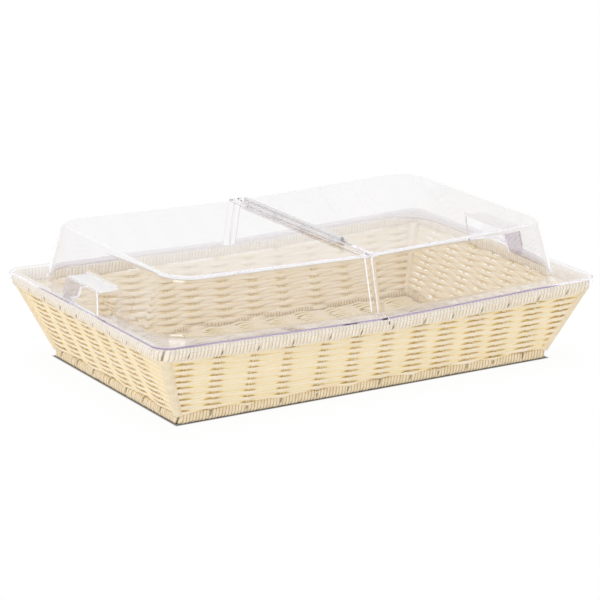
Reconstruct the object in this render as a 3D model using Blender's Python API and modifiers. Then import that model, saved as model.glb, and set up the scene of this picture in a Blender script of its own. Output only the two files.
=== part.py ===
"""Countertop bread display bin: a flared woven basket under a clear cover of two hinged halves.

Units are metres and +Z is up. The origin is the middle of the basket's footprint, +X runs along
the long side and +Y to the back. The cover's seam, hinge and pin lie in the plane X = 0.
"""
import math

import bmesh
import bpy
from mathutils import Matrix, Vector

# Basket: base band and floor
BASE_LENGTH = 0.512
BASE_WIDTH = 0.315
BAND_HEIGHT = 0.012
BAND_THICKNESS = 0.008
BAND_CORNER_RADIUS = 0.009
BAND_EDGE = 0.002
FLOOR_HEIGHT = 0.004
FLOOR_THICKNESS = 0.004
FLOOR_CLEARANCE = 0.0006
FLOOR_RELIEF = 0.0018

# Basket: walls and rim
RIM_TOP = 0.103
RIM_WIDTH = 0.012
RIM_HEIGHT = 0.015
RIM_EDGE = 0.004
RIM_CORNER_RADIUS = 0.019
RIM_OVERHANG = 0.005
WALL_THICKNESS = 0.0056
WEAVE_RELIEF = 0.0009
ROW_PITCH = 0.0046
STAKE_PITCH = 0.0435

# Basket: wire frame and corner bands
RIM_WIRE_RADIUS = 0.0025
BASE_WIRE_RADIUS = 0.002
CORNER_WIRE_RADIUS = 0.002
WIRE_CLEARANCE = 0.0003
POST_FOOT_RADIUS = 0.005
POST_HEAD_RADIUS = 0.0075
WALL_END_SHARE = 0.85

# Cover: flange, lip and dome
COVER_LENGTH = 0.600
COVER_WIDTH = 0.400
COVER_SHEET = 0.0025
FLANGE_WIDTH = 0.025
LIP_DEPTH = 0.008
LIP_CLEARANCE = 0.001
LIP_EDGE_RADIUS = 0.0028
SEAM_DROP = 0.007
DOME_HEIGHT = 0.065
DOME_DRAFT = 0.017
DOME_CORNER_RADIUS = 0.058
DOME_TOP_FILLET = 0.008

# Cover: seam ribs and end handles
SEAM_GAP = 0.0016
RIB_WIDTH = 0.008
RIB_RISE = 0.002
RIB_SINK = 0.001
HANDLE_WIDTH = 0.094
HANDLE_HEIGHT = 0.028
HANDLE_SETBACK = 0.0022
HANDLE_FRONT_DRAFT = 0.003
HANDLE_SIDE_DRAFT = 0.006
HANDLE_EDGE = 0.003

# Hinge on top of the cover
HINGE_REAR_GAP = 0.028
HINGE_FRONT_GAP = 0.062
KNUCKLE_COUNT = 7
KNUCKLE_RADIUS = 0.0026
KNUCKLE_GAP = 0.0005
LEAF_THICKNESS = 0.002
LEAF_RELIEF = 0.0006
LEAF_FINGER_INSET = 0.0006
FINGER_SHOULDER = 0.0008
PIN_RADIUS = 0.0012
PIN_CLEARANCE = 0.0003
PIN_HEAD_RADIUS = 0.0022
PIN_HEAD_LENGTH = 0.001
RIVET_COUNT = 4
RIVET_END_INSET = 0.016
RIVET_SHANK_RADIUS = 0.0009
RIVET_HEAD_RADIUS = 0.0016
RIVET_HEAD_HEIGHT = 0.0007
RIVET_CLEARANCE = 0.0003
BACK_TO_BACK_GAP = 0.0004

# Gap between neighbours at rest, and how far a cutter runs past what it cuts
SEAT_GAP = 0.0003
OVERRUN = 0.004
MERGE_DISTANCE = 0.00001

# Facets of round shapes
CORNER_STEPS = 5
DOME_CORNER_STEPS = 8
FILLET_STEPS = 3
SECTION_STEPS = 2
EDGE_SEGMENTS = 2
WIRE_SIDES = 8
CORNER_WIRE_SIDES = 10
POST_SIDES = 20
KNUCKLE_SIDES = 16
RIVET_SIDES = 8
SAG_STEPS = 6
SMOOTH_ANGLE = math.radians(35)

# Heights and half sizes that follow from the driving sizes
RIM_BOTTOM = RIM_TOP - RIM_HEIGHT
RIM_HALF_LENGTH = COVER_LENGTH / 2 - COVER_SHEET - LIP_CLEARANCE
RIM_HALF_WIDTH = COVER_WIDTH / 2 - COVER_SHEET - LIP_CLEARANCE
SAG_REACH = RIM_HALF_LENGTH - RIM_CORNER_RADIUS
RIM_WIRE_Z = (RIM_TOP + RIM_BOTTOM) / 2
BASE_WIRE_Z = BAND_HEIGHT / 2
FLANGE_TOP = RIM_TOP + SEAT_GAP + COVER_SHEET
DOME_TOP = FLANGE_TOP + DOME_HEIGHT
FLANGE_CORNER_RADIUS = RIM_CORNER_RADIUS + LIP_CLEARANCE + COVER_SHEET
DRAFT_ANGLE = math.atan2(DOME_DRAFT, DOME_HEIGHT)
LEAF_BOTTOM = DOME_TOP + RIB_RISE + SEAT_GAP
LEAF_TOP = LEAF_BOTTOM + LEAF_THICKNESS
PIN_Z = LEAF_TOP + SEAT_GAP + RIVET_HEAD_HEIGHT + BACK_TO_BACK_GAP - SEAM_DROP
HINGE_FRONT_Y = -(COVER_WIDTH / 2 - FLANGE_WIDTH - DOME_DRAFT) + HINGE_FRONT_GAP
HINGE_REAR_Y = (COVER_WIDTH / 2 - FLANGE_WIDTH - DOME_DRAFT) - HINGE_REAR_GAP
RIVET_X = SEAM_GAP / 2 + (RIB_WIDTH + KNUCKLE_RADIUS) / 2

# Which sides and corners there are, as signs of X and Y
SIDES = {"left": -1, "right": 1}
CORNERS = {"front_left": (-1, -1), "front_right": (1, -1), "rear_left": (-1, 1), "rear_right": (1, 1)}


def new_collection(name):
    """Make a collection under the scene."""
    collection = bpy.data.collections.new(name)
    bpy.context.scene.collection.children.link(collection)
    return collection


def make_material(name, colour, roughness, metallic, transmission):
    """Make a Principled material from a linear RGB colour and three plain values."""
    result = bpy.data.materials.new(name)
    result.use_nodes = True
    result.diffuse_color = (*colour, 1.0)
    shader = result.node_tree.nodes["Principled BSDF"]
    shader.inputs["Base Color"].default_value = (*colour, 1.0)
    shader.inputs["Roughness"].default_value = roughness
    shader.inputs["Metallic"].default_value = metallic
    shader.inputs["Transmission Weight"].default_value = transmission
    return result


def add_part(name, data, finish):
    """Put mesh or curve data in the part's collection under its node name."""
    part = bpy.data.objects.new(name, data)
    part.data.materials.append(finish)
    parts.objects.link(part)
    return part


def add_cutter(name, data, placing=None):
    """Put mesh data among the cutters, hidden from renders, moved by a matrix if one is given."""
    if placing:
        data.transform(placing)
    cutter = bpy.data.objects.new(name, data)
    cutter.hide_render = True
    cutter.display_type = "WIRE"
    cutters.objects.link(cutter)
    return cutter


def to_mesh(name, work):
    """Turn a bmesh into mesh data, smooth on round stretches and sharp at edges."""
    bmesh.ops.recalc_face_normals(work, faces=work.faces)
    data = bpy.data.meshes.new(name)
    work.to_mesh(data)
    work.free()
    data.shade_smooth()
    data.set_sharp_from_angle(angle=SMOOTH_ANGLE)
    return data


def add_boolean(part, operation, tool, solver="EXACT"):
    """Add one Boolean to a part."""
    modifier = part.modifiers.new(operation.lower(), "BOOLEAN")
    modifier.operation = operation
    modifier.solver = solver
    modifier.object = tool


def add_bevel(part, width, segments):
    """Round every sharp edge of a part or a cutter."""
    modifier = part.modifiers.new("rounded_edges", "BEVEL")
    modifier.width = width
    modifier.segments = segments
    modifier.limit_method = "ANGLE"


def box_mesh(name, low, high):
    """Make a box between two corners."""
    work = bmesh.new()
    bmesh.ops.create_cube(work, size=1.0)
    centre = (Vector(low) + Vector(high)) / 2
    stretch = Matrix.Diagonal((*(Vector(high) - Vector(low)), 1.0))
    bmesh.ops.transform(work, matrix=Matrix.Translation(centre) @ stretch, verts=work.verts)
    return to_mesh(name, work)


def cylinder_mesh(name, radius, start, end, sides):
    """Make a cylinder between two points."""
    work = bmesh.new()
    start, end = Vector(start), Vector(end)
    run = end - start
    turn = run.to_track_quat("Z", "Y").to_matrix().to_4x4()
    bmesh.ops.create_cone(
        work, cap_ends=True, segments=sides, radius1=radius, radius2=radius, depth=run.length,
        matrix=Matrix.Translation((start + end) / 2) @ turn,
    )
    return to_mesh(name, work)


def leaning_mesh(name, foot, head, foot_radius, head_radius, sides):
    """Make a post with level ends whose axis leans from foot to head."""
    foot, head = Vector(foot), Vector(head)
    rise = head.z - foot.z
    work = bmesh.new()
    bmesh.ops.create_cone(
        work, cap_ends=True, segments=sides, radius1=foot_radius, radius2=head_radius, depth=rise,
        matrix=Matrix.Translation((0.0, 0.0, rise / 2)) @ Matrix.Rotation(math.pi / sides, 4, "Z"),
    )
    for vertex in work.verts:
        share = vertex.co.z / rise
        vertex.co.x += foot.x + (head.x - foot.x) * share
        vertex.co.y += foot.y + (head.y - foot.y) * share
        vertex.co.z += foot.z
    return to_mesh(name, work)


def tube_curve(name, points, radius, cyclic):
    """Make a round wire along points, closed on itself or with filled caps."""
    data = bpy.data.curves.new(name, "CURVE")
    data.dimensions = "3D"
    data.bevel_depth = radius
    data.bevel_resolution = (WIRE_SIDES - 4) // 2
    data.use_fill_caps = not cyclic
    spline = data.splines.new("POLY")
    spline.points.add(len(points) - 1)
    for place, point in zip(spline.points, points):
        place.co = (*point, 1.0)
    spline.use_cyclic_u = cyclic
    return data


def curve_to_mesh(data, placing):
    """Turn curve data into welded mesh data, moved by a matrix."""
    holder = bpy.data.objects.new(data.name, data)
    bpy.context.scene.collection.objects.link(holder)
    depsgraph = bpy.context.evaluated_depsgraph_get()
    work = bmesh.new()
    work.from_mesh(bpy.data.meshes.new_from_object(holder.evaluated_get(depsgraph)))
    bpy.data.objects.remove(holder)
    bmesh.ops.remove_doubles(work, verts=work.verts, dist=MERGE_DISTANCE)
    bmesh.ops.transform(work, matrix=placing, verts=work.verts)
    return to_mesh(data.name, work)


def plate_mesh(name, outline, thickness, placing):
    """Make a flat plate from an outline in its own XY plane, moved by a matrix."""
    data = bpy.data.curves.new(name, "CURVE")
    data.dimensions = "2D"
    data.fill_mode = "BOTH"
    data.extrude = thickness / 2
    spline = data.splines.new("POLY")
    spline.points.add(len(outline) - 1)
    for place, (across, along) in zip(spline.points, outline):
        place.co = (across, along, 0.0, 1.0)
    spline.use_cyclic_u = True
    return curve_to_mesh(data, placing)


def rim_drop(x):
    """How far the rim sags at X: a parabola, deepest under the seam, which ends at the corners."""
    share = min(1.0, abs(x) / SAG_REACH)
    return SEAM_DROP * (1 - share ** 2)


def no_drop(x):
    """A ring that lies level."""
    return 0.0


def droop(side):
    """Shear that lets one half of the cover down to the rim at the seam, and not at the corners."""
    return Matrix((
        (1.0, 0.0, 0.0, 0.0),
        (0.0, 1.0, 0.0, 0.0),
        (side * SEAM_DROP / SAG_REACH, 0.0, 1.0, -SEAM_DROP),
        (0.0, 0.0, 0.0, 1.0),
    ))


def rounded_rectangle(half_x, half_y, radius, steps, run_steps=1):
    """Points round a rectangle with arc corners, anticlockwise from the right side's front.

    Each of its two runs along X is in run_steps equal parts.
    """
    points = []
    for quarter, (sign_x, sign_y) in enumerate(((1, -1), (1, 1), (-1, 1), (-1, -1))):
        for step in range(steps + 1):
            angle = (quarter - 1 + step / steps) * math.pi / 2
            points.append((
                sign_x * (half_x - radius) + radius * math.cos(angle),
                sign_y * (half_y - radius) + radius * math.sin(angle),
            ))
        if sign_x == sign_y:
            for step in range(1, run_steps):
                points.append((sign_x * (half_x - radius) * (1 - 2 * step / run_steps), sign_y * half_y))
    return points


def bridge_loops(work, loops, closed):
    """Join successive loops of equal length with quads, and the last to the first if closed."""
    rows = [[work.verts.new(point) for point in loop] for loop in loops]
    pairs = list(zip(rows, rows[1:]))
    if closed:
        pairs.append((rows[-1], rows[0]))
    for lower, upper in pairs:
        for index in range(len(lower)):
            after = (index + 1) % len(lower)
            work.faces.new((lower[index], lower[after], upper[after], upper[index]))
    return rows


def rounded_section(width, height, radius):
    """Outline of a wrapped roll's section: an oblong with rounded corners."""
    return rounded_rectangle(width / 2, height / 2, radius, SECTION_STEPS)


def ring_mesh(name, half_x, half_y, corner_radius, centre_z, section, run_steps, drop):
    """Sweep a section round a rounded rectangle, which lies on the section's own middle and sags."""
    work = bmesh.new()
    loops = []
    for out, up in section:
        flat = rounded_rectangle(half_x + out, half_y + out, corner_radius + out, CORNER_STEPS, run_steps)
        loops.append([(x, y, centre_z + up - drop(x)) for x, y in flat])
    bridge_loops(work, loops, closed=True)
    return to_mesh(name, work)


def wall_half(z, axis):
    """Half size of the walls' outer face at a height, along X (axis 0) or Y (axis 1)."""
    low = (BASE_LENGTH, BASE_WIDTH)[axis] / 2
    high = (RIM_HALF_LENGTH, RIM_HALF_WIDTH)[axis] - RIM_OVERHANG
    return low + (high - low) * (z - BAND_HEIGHT) / (RIM_BOTTOM - BAND_HEIGHT)


def ring_corner(half_x, half_y, corner_radius, z):
    """Middle of a ring's corner arc in the +X +Y quarter."""
    reach = corner_radius * (1 - math.cos(math.pi / 4))
    return Vector((half_x - reach, half_y - reach, z))


def post_point(z):
    """Corner post's axis in the +X +Y quarter: the straight line between the two rings' corners."""
    foot = ring_corner(
        (BASE_LENGTH - BAND_THICKNESS) / 2, (BASE_WIDTH - BAND_THICKNESS) / 2,
        BAND_CORNER_RADIUS - BAND_THICKNESS / 2, BASE_WIRE_Z)
    head = ring_corner(
        RIM_HALF_LENGTH - RIM_WIDTH / 2, RIM_HALF_WIDTH - RIM_WIDTH / 2,
        RIM_CORNER_RADIUS - RIM_WIDTH / 2, RIM_WIRE_Z)
    return foot.lerp(head, (z - BASE_WIRE_Z) / (RIM_WIRE_Z - BASE_WIRE_Z))


def post_radius(z):
    """Corner post's radius at a height."""
    share = (z - BAND_HEIGHT) / (RIM_BOTTOM - BAND_HEIGHT)
    return POST_FOOT_RADIUS + (POST_HEAD_RADIUS - POST_FOOT_RADIUS) * share


def weave_swing(column, row, bay_steps):
    """Where a strand stands: out (1) and in (-1) at the stakes by turns, level (0) between them."""
    if column % bay_steps:
        return 0
    return 1 if (column // bay_steps + row) % 2 else -1


def woven_grid(bays, bay_steps, rows, place):
    """The face of a woven panel: a grid put in place vertex by vertex.

    A square with two outer corners is split between them, which keeps the pits between strands.
    """
    columns = bays * bay_steps
    work = bmesh.new()
    bmesh.ops.create_grid(work, x_segments=columns, y_segments=rows, size=1.0)
    outer = set()
    for vertex in work.verts:
        column = round((vertex.co.x + 1) / 2 * columns)
        row = round((vertex.co.y + 1) / 2 * rows)
        swing = weave_swing(column, row, bay_steps)
        vertex.co = place(vertex.co.x, (vertex.co.y + 1) / 2, swing)
        if swing == 1:
            outer.add(vertex)
    for face in list(work.faces):
        crests = [vertex for vertex in face.verts if vertex in outer]
        if len(crests) == 2:
            bmesh.utils.face_split(face, crests[0], crests[1])
    return work


def build_wall(name, axis, sign, finish):
    """One flared wall between the base band and the rim: axis 0 is an end wall, 1 a long wall.

    The panel runs past the band, the rim and the corner bands, and is then cut to the room between.
    Its thickness goes inwards.
    """
    low = BAND_HEIGHT + SEAT_GAP
    high = RIM_BOTTOM - SEAT_GAP
    along = 1 - axis
    middle_length = 2 * post_point((low + high) / 2)[along]
    slant = math.hypot(high - low, wall_half(high, axis) - wall_half(low, axis))

    def place(across, up, swing):
        z = low - WALL_THICKNESS + (high - low + 2 * WALL_THICKNESS) * up
        point = Vector((0.0, 0.0, z))
        point[along] = across * (post_point(z)[along] - WALL_END_SHARE * post_radius(z))
        point[axis] = sign * (wall_half(z, axis) + WEAVE_RELIEF * (swing - 1))
        point.z -= rim_drop(point.x) * (z - low) / (high - low)
        return point

    bays = round(middle_length / STAKE_PITCH)
    rows = round(slant / ROW_PITCH)
    data = to_mesh(name, woven_grid(bays, 2, rows, place))
    outward = sum((polygon.normal for polygon in data.polygons), Vector())
    if outward[axis] * sign < 0:
        data.flip_normals()
    panel = add_part(name, data, finish)
    solidify = panel.modifiers.new("thickness", "SOLIDIFY")
    solidify.thickness = WALL_THICKNESS
    solidify.offset = -1.0
    add_boolean(panel, "INTERSECT", cutters.objects["wall_zone"])
    for corner, signs in CORNERS.items():
        if signs[axis] == sign:
            add_boolean(panel, "DIFFERENCE", cutters.objects["band_zone_" + corner], "MANIFOLD")


def add_wall_zone():
    """The room between the base band and the sagging rim, to which the walls are cut."""
    stations = [SAG_REACH * (2 * step / SAG_STEPS - 1) for step in range(SAG_STEPS + 1)]
    low = BAND_HEIGHT + SEAT_GAP
    loops = []
    for x in [-COVER_LENGTH] + stations + [COVER_LENGTH]:
        high = RIM_BOTTOM - SEAT_GAP - rim_drop(x)
        loops.append([
            (x, -COVER_LENGTH, low), (x, COVER_LENGTH, low), (x, COVER_LENGTH, high), (x, -COVER_LENGTH, high),
        ])
    work = bmesh.new()
    rows = bridge_loops(work, loops, closed=False)
    work.faces.new(rows[0])
    work.faces.new(rows[-1])
    add_cutter("wall_zone", to_mesh("wall_zone", work))


def add_band_zones():
    """The room each corner band takes, by which the walls beside it are cut."""
    low = BAND_HEIGHT - WALL_THICKNESS
    high = RIM_BOTTOM + WALL_THICKNESS
    for corner, (sign_x, sign_y) in CORNERS.items():
        foot, head = post_point(low), post_point(high)
        zone = leaning_mesh(
            "band_zone_" + corner,
            (sign_x * foot.x, sign_y * foot.y, low), (sign_x * head.x, sign_y * head.y, high),
            post_radius(low) + SEAT_GAP, post_radius(high) + SEAT_GAP, POST_SIDES)
        add_cutter("band_zone_" + corner, zone)


def build_floor(finish):
    """The woven floor, held inside the base band, with a stake at its middle and a short bay at each end.

    Its thickness goes straight down, so that its sides stay upright.
    """
    half_x = BASE_LENGTH / 2 - BAND_THICKNESS - FLOOR_CLEARANCE
    half_y = BASE_WIDTH / 2 - BAND_THICKNESS - FLOOR_CLEARANCE
    side_bays = math.ceil(half_x / STAKE_PITCH)
    top = FLOOR_HEIGHT + FLOOR_THICKNESS

    def place(across, up, swing):
        x = max(-half_x, min(half_x, across * side_bays * STAKE_PITCH))
        return Vector((x, (2 * up - 1) * half_y, top + FLOOR_RELIEF * (swing - 1)))

    rows = round(2 * half_y / ROW_PITCH)
    work = woven_grid(2 * side_bays, 1, rows, place)
    made = bmesh.ops.extrude_face_region(work, geom=work.faces[:])
    under = [item for item in made["geom"] if isinstance(item, bmesh.types.BMVert)]
    bmesh.ops.translate(work, verts=under, vec=(0, 0, -FLOOR_THICKNESS))
    return add_part("floor_weave", to_mesh("floor_weave", work), finish)


def split_ring(prefix, ring, bore, half_x, half_y, corner_radius, low, high, finish):
    """Cut a wrapped ring into four side wraps and four corner wraps, each bored for its wire."""
    straight_x = half_x - corner_radius
    straight_y = half_y - corner_radius
    reach_x = half_x + OVERRUN
    reach_y = half_y + OVERRUN
    gap = SEAT_GAP / 2
    low -= OVERRUN
    high += OVERRUN
    zones = {
        "front": ((-straight_x + gap, -reach_y, low), (straight_x - gap, -straight_y + gap, high)),
        "rear": ((-straight_x + gap, straight_y - gap, low), (straight_x - gap, reach_y, high)),
        "left": ((-reach_x, -straight_y + gap, low), (-straight_x + gap, straight_y - gap, high)),
        "right": ((straight_x - gap, -straight_y + gap, low), (reach_x, straight_y - gap, high)),
    }
    for corner, (sign_x, sign_y) in CORNERS.items():
        near = (sign_x * (straight_x + gap), sign_y * (straight_y + gap))
        far = (sign_x * reach_x, sign_y * reach_y)
        zones["corner_" + corner] = (
            (min(near[0], far[0]), min(near[1], far[1]), low),
            (max(near[0], far[0]), max(near[1], far[1]), high),
        )
    pieces = {}
    for zone, (zone_low, zone_high) in zones.items():
        zone_box = add_cutter(prefix + "_zone_" + zone, box_mesh(zone, zone_low, zone_high))
        piece = add_part(prefix + "_" + zone, ring.copy(), finish)
        add_boolean(piece, "DIFFERENCE", bore)
        add_boolean(piece, "INTERSECT", zone_box)
        pieces[zone] = piece
    return pieces


def build_basket(weave, wrap, steel):
    """The basket: wire frame, wrapped rim and base, corner bands, woven walls and floor."""
    build_floor(weave)
    add_wall_zone()
    add_band_zones()
    build_wall("front_wall_weave", 1, -1, weave)
    build_wall("rear_wall_weave", 1, 1, weave)
    build_wall("left_wall_weave", 0, -1, weave)
    build_wall("right_wall_weave", 0, 1, weave)

    rim_x = RIM_HALF_LENGTH - RIM_WIDTH / 2
    rim_y = RIM_HALF_WIDTH - RIM_WIDTH / 2
    rim_radius = RIM_CORNER_RADIUS - RIM_WIDTH / 2
    rim_outline = rounded_rectangle(rim_x, rim_y, rim_radius, CORNER_STEPS, SAG_STEPS)
    rim_path = [(x, y, RIM_WIRE_Z - rim_drop(x)) for x, y in rim_outline]
    add_part("rim_wire", tube_curve("rim_wire", rim_path, RIM_WIRE_RADIUS, True), steel)
    rim_bore = add_cutter("rim_bore", curve_to_mesh(
        tube_curve("rim_bore", rim_path, RIM_WIRE_RADIUS + WIRE_CLEARANCE, True), Matrix.Identity(4)))
    rim_ring = ring_mesh(
        "rim_ring", rim_x, rim_y, rim_radius, RIM_WIRE_Z,
        rounded_section(RIM_WIDTH, RIM_HEIGHT, RIM_EDGE), SAG_STEPS, rim_drop)
    rim_pieces = split_ring(
        "rim_wrap", rim_ring, rim_bore, RIM_HALF_LENGTH, RIM_HALF_WIDTH, RIM_CORNER_RADIUS,
        RIM_BOTTOM - SEAM_DROP, RIM_TOP, wrap)

    base_x = (BASE_LENGTH - BAND_THICKNESS) / 2
    base_y = (BASE_WIDTH - BAND_THICKNESS) / 2
    base_radius = BAND_CORNER_RADIUS - BAND_THICKNESS / 2
    base_outline = rounded_rectangle(base_x, base_y, base_radius, CORNER_STEPS)
    base_path = [(x, y, BASE_WIRE_Z) for x, y in base_outline]
    add_part("base_wire", tube_curve("base_wire", base_path, BASE_WIRE_RADIUS, True), steel)
    base_bore = add_cutter("base_bore", curve_to_mesh(
        tube_curve("base_bore", base_path, BASE_WIRE_RADIUS + WIRE_CLEARANCE, True), Matrix.Identity(4)))
    base_ring = ring_mesh(
        "base_ring", base_x, base_y, base_radius, BASE_WIRE_Z,
        rounded_section(BAND_THICKNESS, BAND_HEIGHT, BAND_EDGE), 1, no_drop)
    base_pieces = split_ring(
        "base_wrap", base_ring, base_bore, BASE_LENGTH / 2, BASE_WIDTH / 2, BAND_CORNER_RADIUS,
        0.0, BAND_HEIGHT, wrap)

    for corner, (sign_x, sign_y) in CORNERS.items():
        build_corner(corner, sign_x, sign_y, rim_pieces, base_pieces, wrap, steel)


def build_corner(corner, sign_x, sign_y, rim_pieces, base_pieces, wrap, steel):
    """One corner: a leaning wire between the rings, inside a band wrapped round it."""
    def at(z):
        point = post_point(z)
        return Vector((sign_x * point.x, sign_y * point.y, z))

    wire_low = at(BASE_WIRE_Z + BASE_WIRE_RADIUS + SEAT_GAP)
    wire_high = at(RIM_WIRE_Z - RIM_WIRE_RADIUS - SEAT_GAP)
    wire_name = "corner_wire_" + corner
    add_part(wire_name, leaning_mesh(
        wire_name, wire_low, wire_high, CORNER_WIRE_RADIUS, CORNER_WIRE_RADIUS, CORNER_WIRE_SIDES), steel)
    hole_name = "corner_hole_" + corner
    hole_radius = CORNER_WIRE_RADIUS + WIRE_CLEARANCE
    hole = add_cutter(hole_name, leaning_mesh(
        hole_name, at(BASE_WIRE_Z), at(RIM_WIRE_Z), hole_radius, hole_radius, CORNER_WIRE_SIDES))
    low = BAND_HEIGHT + SEAT_GAP
    high = RIM_BOTTOM - SEAT_GAP
    band = add_part("corner_band_" + corner, leaning_mesh(
        "corner_band_" + corner, at(low), at(high), post_radius(low), post_radius(high), POST_SIDES), wrap)
    for piece in (band, rim_pieces["corner_" + corner], base_pieces["corner_" + corner]):
        add_boolean(piece, "DIFFERENCE", hole)


def dome_profile(offset):
    """Dome wall, top fillet and edge of the flat top as (inset, z), pushed out by an offset.

    The wall is straight at the draft angle. The fillet's centre lies one fillet radius inside
    the wall and under the top, so an offset only makes its radius larger.
    """
    sine, cosine = math.sin(DRAFT_ANGLE), math.cos(DRAFT_ANGLE)
    centre_inset = (DOME_TOP_FILLET + (DOME_HEIGHT - DOME_TOP_FILLET) * sine) / cosine
    centre_z = DOME_TOP - DOME_TOP_FILLET
    points = [(-offset * cosine, FLANGE_TOP + offset * sine)]
    for step in range(FILLET_STEPS + 1):
        angle = DRAFT_ANGLE + (math.pi / 2 - DRAFT_ANGLE) * step / FILLET_STEPS
        reach = DOME_TOP_FILLET + offset
        points.append((centre_inset - reach * math.cos(angle), centre_z + reach * math.sin(angle)))
    return points


def cover_surface(name):
    """The whole cover's outer surface, open underneath: lip, flange, drafted wall, fillet, top."""
    half_x = COVER_LENGTH / 2
    half_y = COVER_WIDTH / 2
    stations = [(0.0, FLANGE_TOP - LIP_DEPTH, FLANGE_CORNER_RADIUS)]
    for step in range(FILLET_STEPS + 1):
        angle = math.pi / 2 * step / FILLET_STEPS
        inset = LIP_EDGE_RADIUS * (1 - math.cos(angle))
        z = FLANGE_TOP - LIP_EDGE_RADIUS * (1 - math.sin(angle))
        stations.append((inset, z, FLANGE_CORNER_RADIUS - inset))
    for inset, z in dome_profile(0.0):
        stations.append((FLANGE_WIDTH + inset, z, DOME_CORNER_RADIUS - inset))
    loops = []
    for inset, z, radius in stations:
        flat = rounded_rectangle(half_x - inset, half_y - inset, radius, DOME_CORNER_STEPS)
        loops.append([(x, y, z) for x, y in flat])
    work = bmesh.new()
    rows = bridge_loops(work, loops, closed=False)
    work.faces.new(rows[-1])
    return work


def seam_rib_mesh(name, side):
    """The raised rib along the seam edge of one half, over the front wall, top and rear wall."""
    half_y = COVER_WIDTH / 2 - FLANGE_WIDTH
    outer = [(half_y - inset, z) for inset, z in dome_profile(RIB_RISE)]
    inner = [(half_y - inset, z) for inset, z in dome_profile(-RIB_SINK)]
    outer[0] = (outer[0][0], FLANGE_TOP - RIB_SINK)
    inner[0] = (inner[0][0], FLANGE_TOP - RIB_SINK)
    front_to_rear = [(-y, z) for y, z in outer] + outer[::-1]
    rear_to_front = inner + [(-y, z) for y, z in inner[::-1]]
    width = SEAM_GAP / 2 + RIB_WIDTH + OVERRUN / 2
    middle = side * (SEAM_GAP / 2 + RIB_WIDTH - width / 2)
    placing = Matrix((
        (0.0, 0.0, 1.0, middle),
        (1.0, 0.0, 0.0, 0.0),
        (0.0, 1.0, 0.0, 0.0),
        (0.0, 0.0, 0.0, 1.0),
    ))
    return plate_mesh(name, front_to_rear + rear_to_front, width, placing)


def handle_mesh(name, side, wall, low, high, inner_inset):
    """A drafted box that grows out of the end wall: the handle, or the hollow inside it."""
    end_x = COVER_LENGTH / 2 - HANDLE_SETBACK - wall
    half_y = HANDLE_WIDTH / 2 - wall
    work = bmesh.new()
    bmesh.ops.create_cube(work, size=2.0)
    for vertex in work.verts:
        z = high if vertex.co.z > 0 else low
        share = (z - FLANGE_TOP) / HANDLE_HEIGHT
        outer_x = end_x - HANDLE_FRONT_DRAFT * share
        inner_x = COVER_LENGTH / 2 - FLANGE_WIDTH - math.tan(DRAFT_ANGLE) * (z - FLANGE_TOP) - inner_inset
        x = outer_x if vertex.co.x > 0 else inner_x
        y = half_y - HANDLE_SIDE_DRAFT * share
        vertex.co = (side * x, math.copysign(y, vertex.co.y), z)
    return to_mesh(name, work)


def build_cover(name, side, clear):
    """One half of the cover, with its seam rib and its end handle, cut open at the seam."""
    work = cover_surface(name)
    bmesh.ops.bisect_plane(
        work, geom=work.verts[:] + work.edges[:] + work.faces[:],
        plane_co=(-side * OVERRUN, 0.0, 0.0), plane_no=(-side, 0.0, 0.0), clear_outer=True)
    bmesh.ops.transform(work, matrix=droop(side), verts=work.verts)
    half = add_part(name, to_mesh(name, work), clear)
    middle_top = max(half.data.polygons, key=lambda polygon: polygon.area)
    if middle_top.normal.z < 0:
        half.data.flip_normals()
    solidify = half.modifiers.new("sheet", "SOLIDIFY")
    solidify.thickness = COVER_SHEET
    solidify.offset = -1.0
    solidify.use_even_offset = True
    solidify.use_quality_normals = True

    handle = add_cutter(name + "_handle", handle_mesh(
        name + "_handle", side, 0.0,
        FLANGE_TOP - COVER_SHEET / 2, FLANGE_TOP + HANDLE_HEIGHT, COVER_SHEET / 2), droop(side))
    add_bevel(handle, HANDLE_EDGE, EDGE_SEGMENTS)
    hollow = add_cutter(name + "_hollow", handle_mesh(
        name + "_hollow", side, COVER_SHEET, FLANGE_TOP - COVER_SHEET - OVERRUN,
        FLANGE_TOP + HANDLE_HEIGHT - COVER_SHEET, COVER_SHEET + OVERRUN), droop(side))
    rib = add_cutter(name + "_rib", seam_rib_mesh(name + "_rib", side), droop(side))
    low = (-OVERRUN - COVER_SHEET, -COVER_WIDTH, -COVER_WIDTH)
    high = (SEAM_GAP / 2, COVER_WIDTH, COVER_WIDTH)
    if side < 0:
        low, high = (-high[0], low[1], low[2]), (-low[0], high[1], high[2])
    seam = add_cutter(name + "_seam", box_mesh(name + "_seam", low, high))
    add_boolean(half, "UNION", handle)
    add_boolean(half, "DIFFERENCE", hollow)
    add_boolean(half, "UNION", rib)
    add_boolean(half, "DIFFERENCE", seam)
    for index, y in enumerate(rivet_places()):
        hole = cylinder_mesh(
            name + "_hole", RIVET_SHANK_RADIUS + RIVET_CLEARANCE,
            (side * RIVET_X, y, DOME_TOP - COVER_SHEET - OVERRUN), (side * RIVET_X, y, DOME_TOP + OVERRUN),
            RIVET_SIDES)
        add_boolean(half, "DIFFERENCE", add_cutter(name + "_hole_" + str(index + 1), hole, droop(side)))


def rivet_places():
    """Y of each rivet of a leaf, evenly between the two end ones."""
    first = HINGE_FRONT_Y + RIVET_END_INSET
    last = HINGE_REAR_Y - RIVET_END_INSET
    return [first + (last - first) * index / (RIVET_COUNT - 1) for index in range(RIVET_COUNT)]


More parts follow.
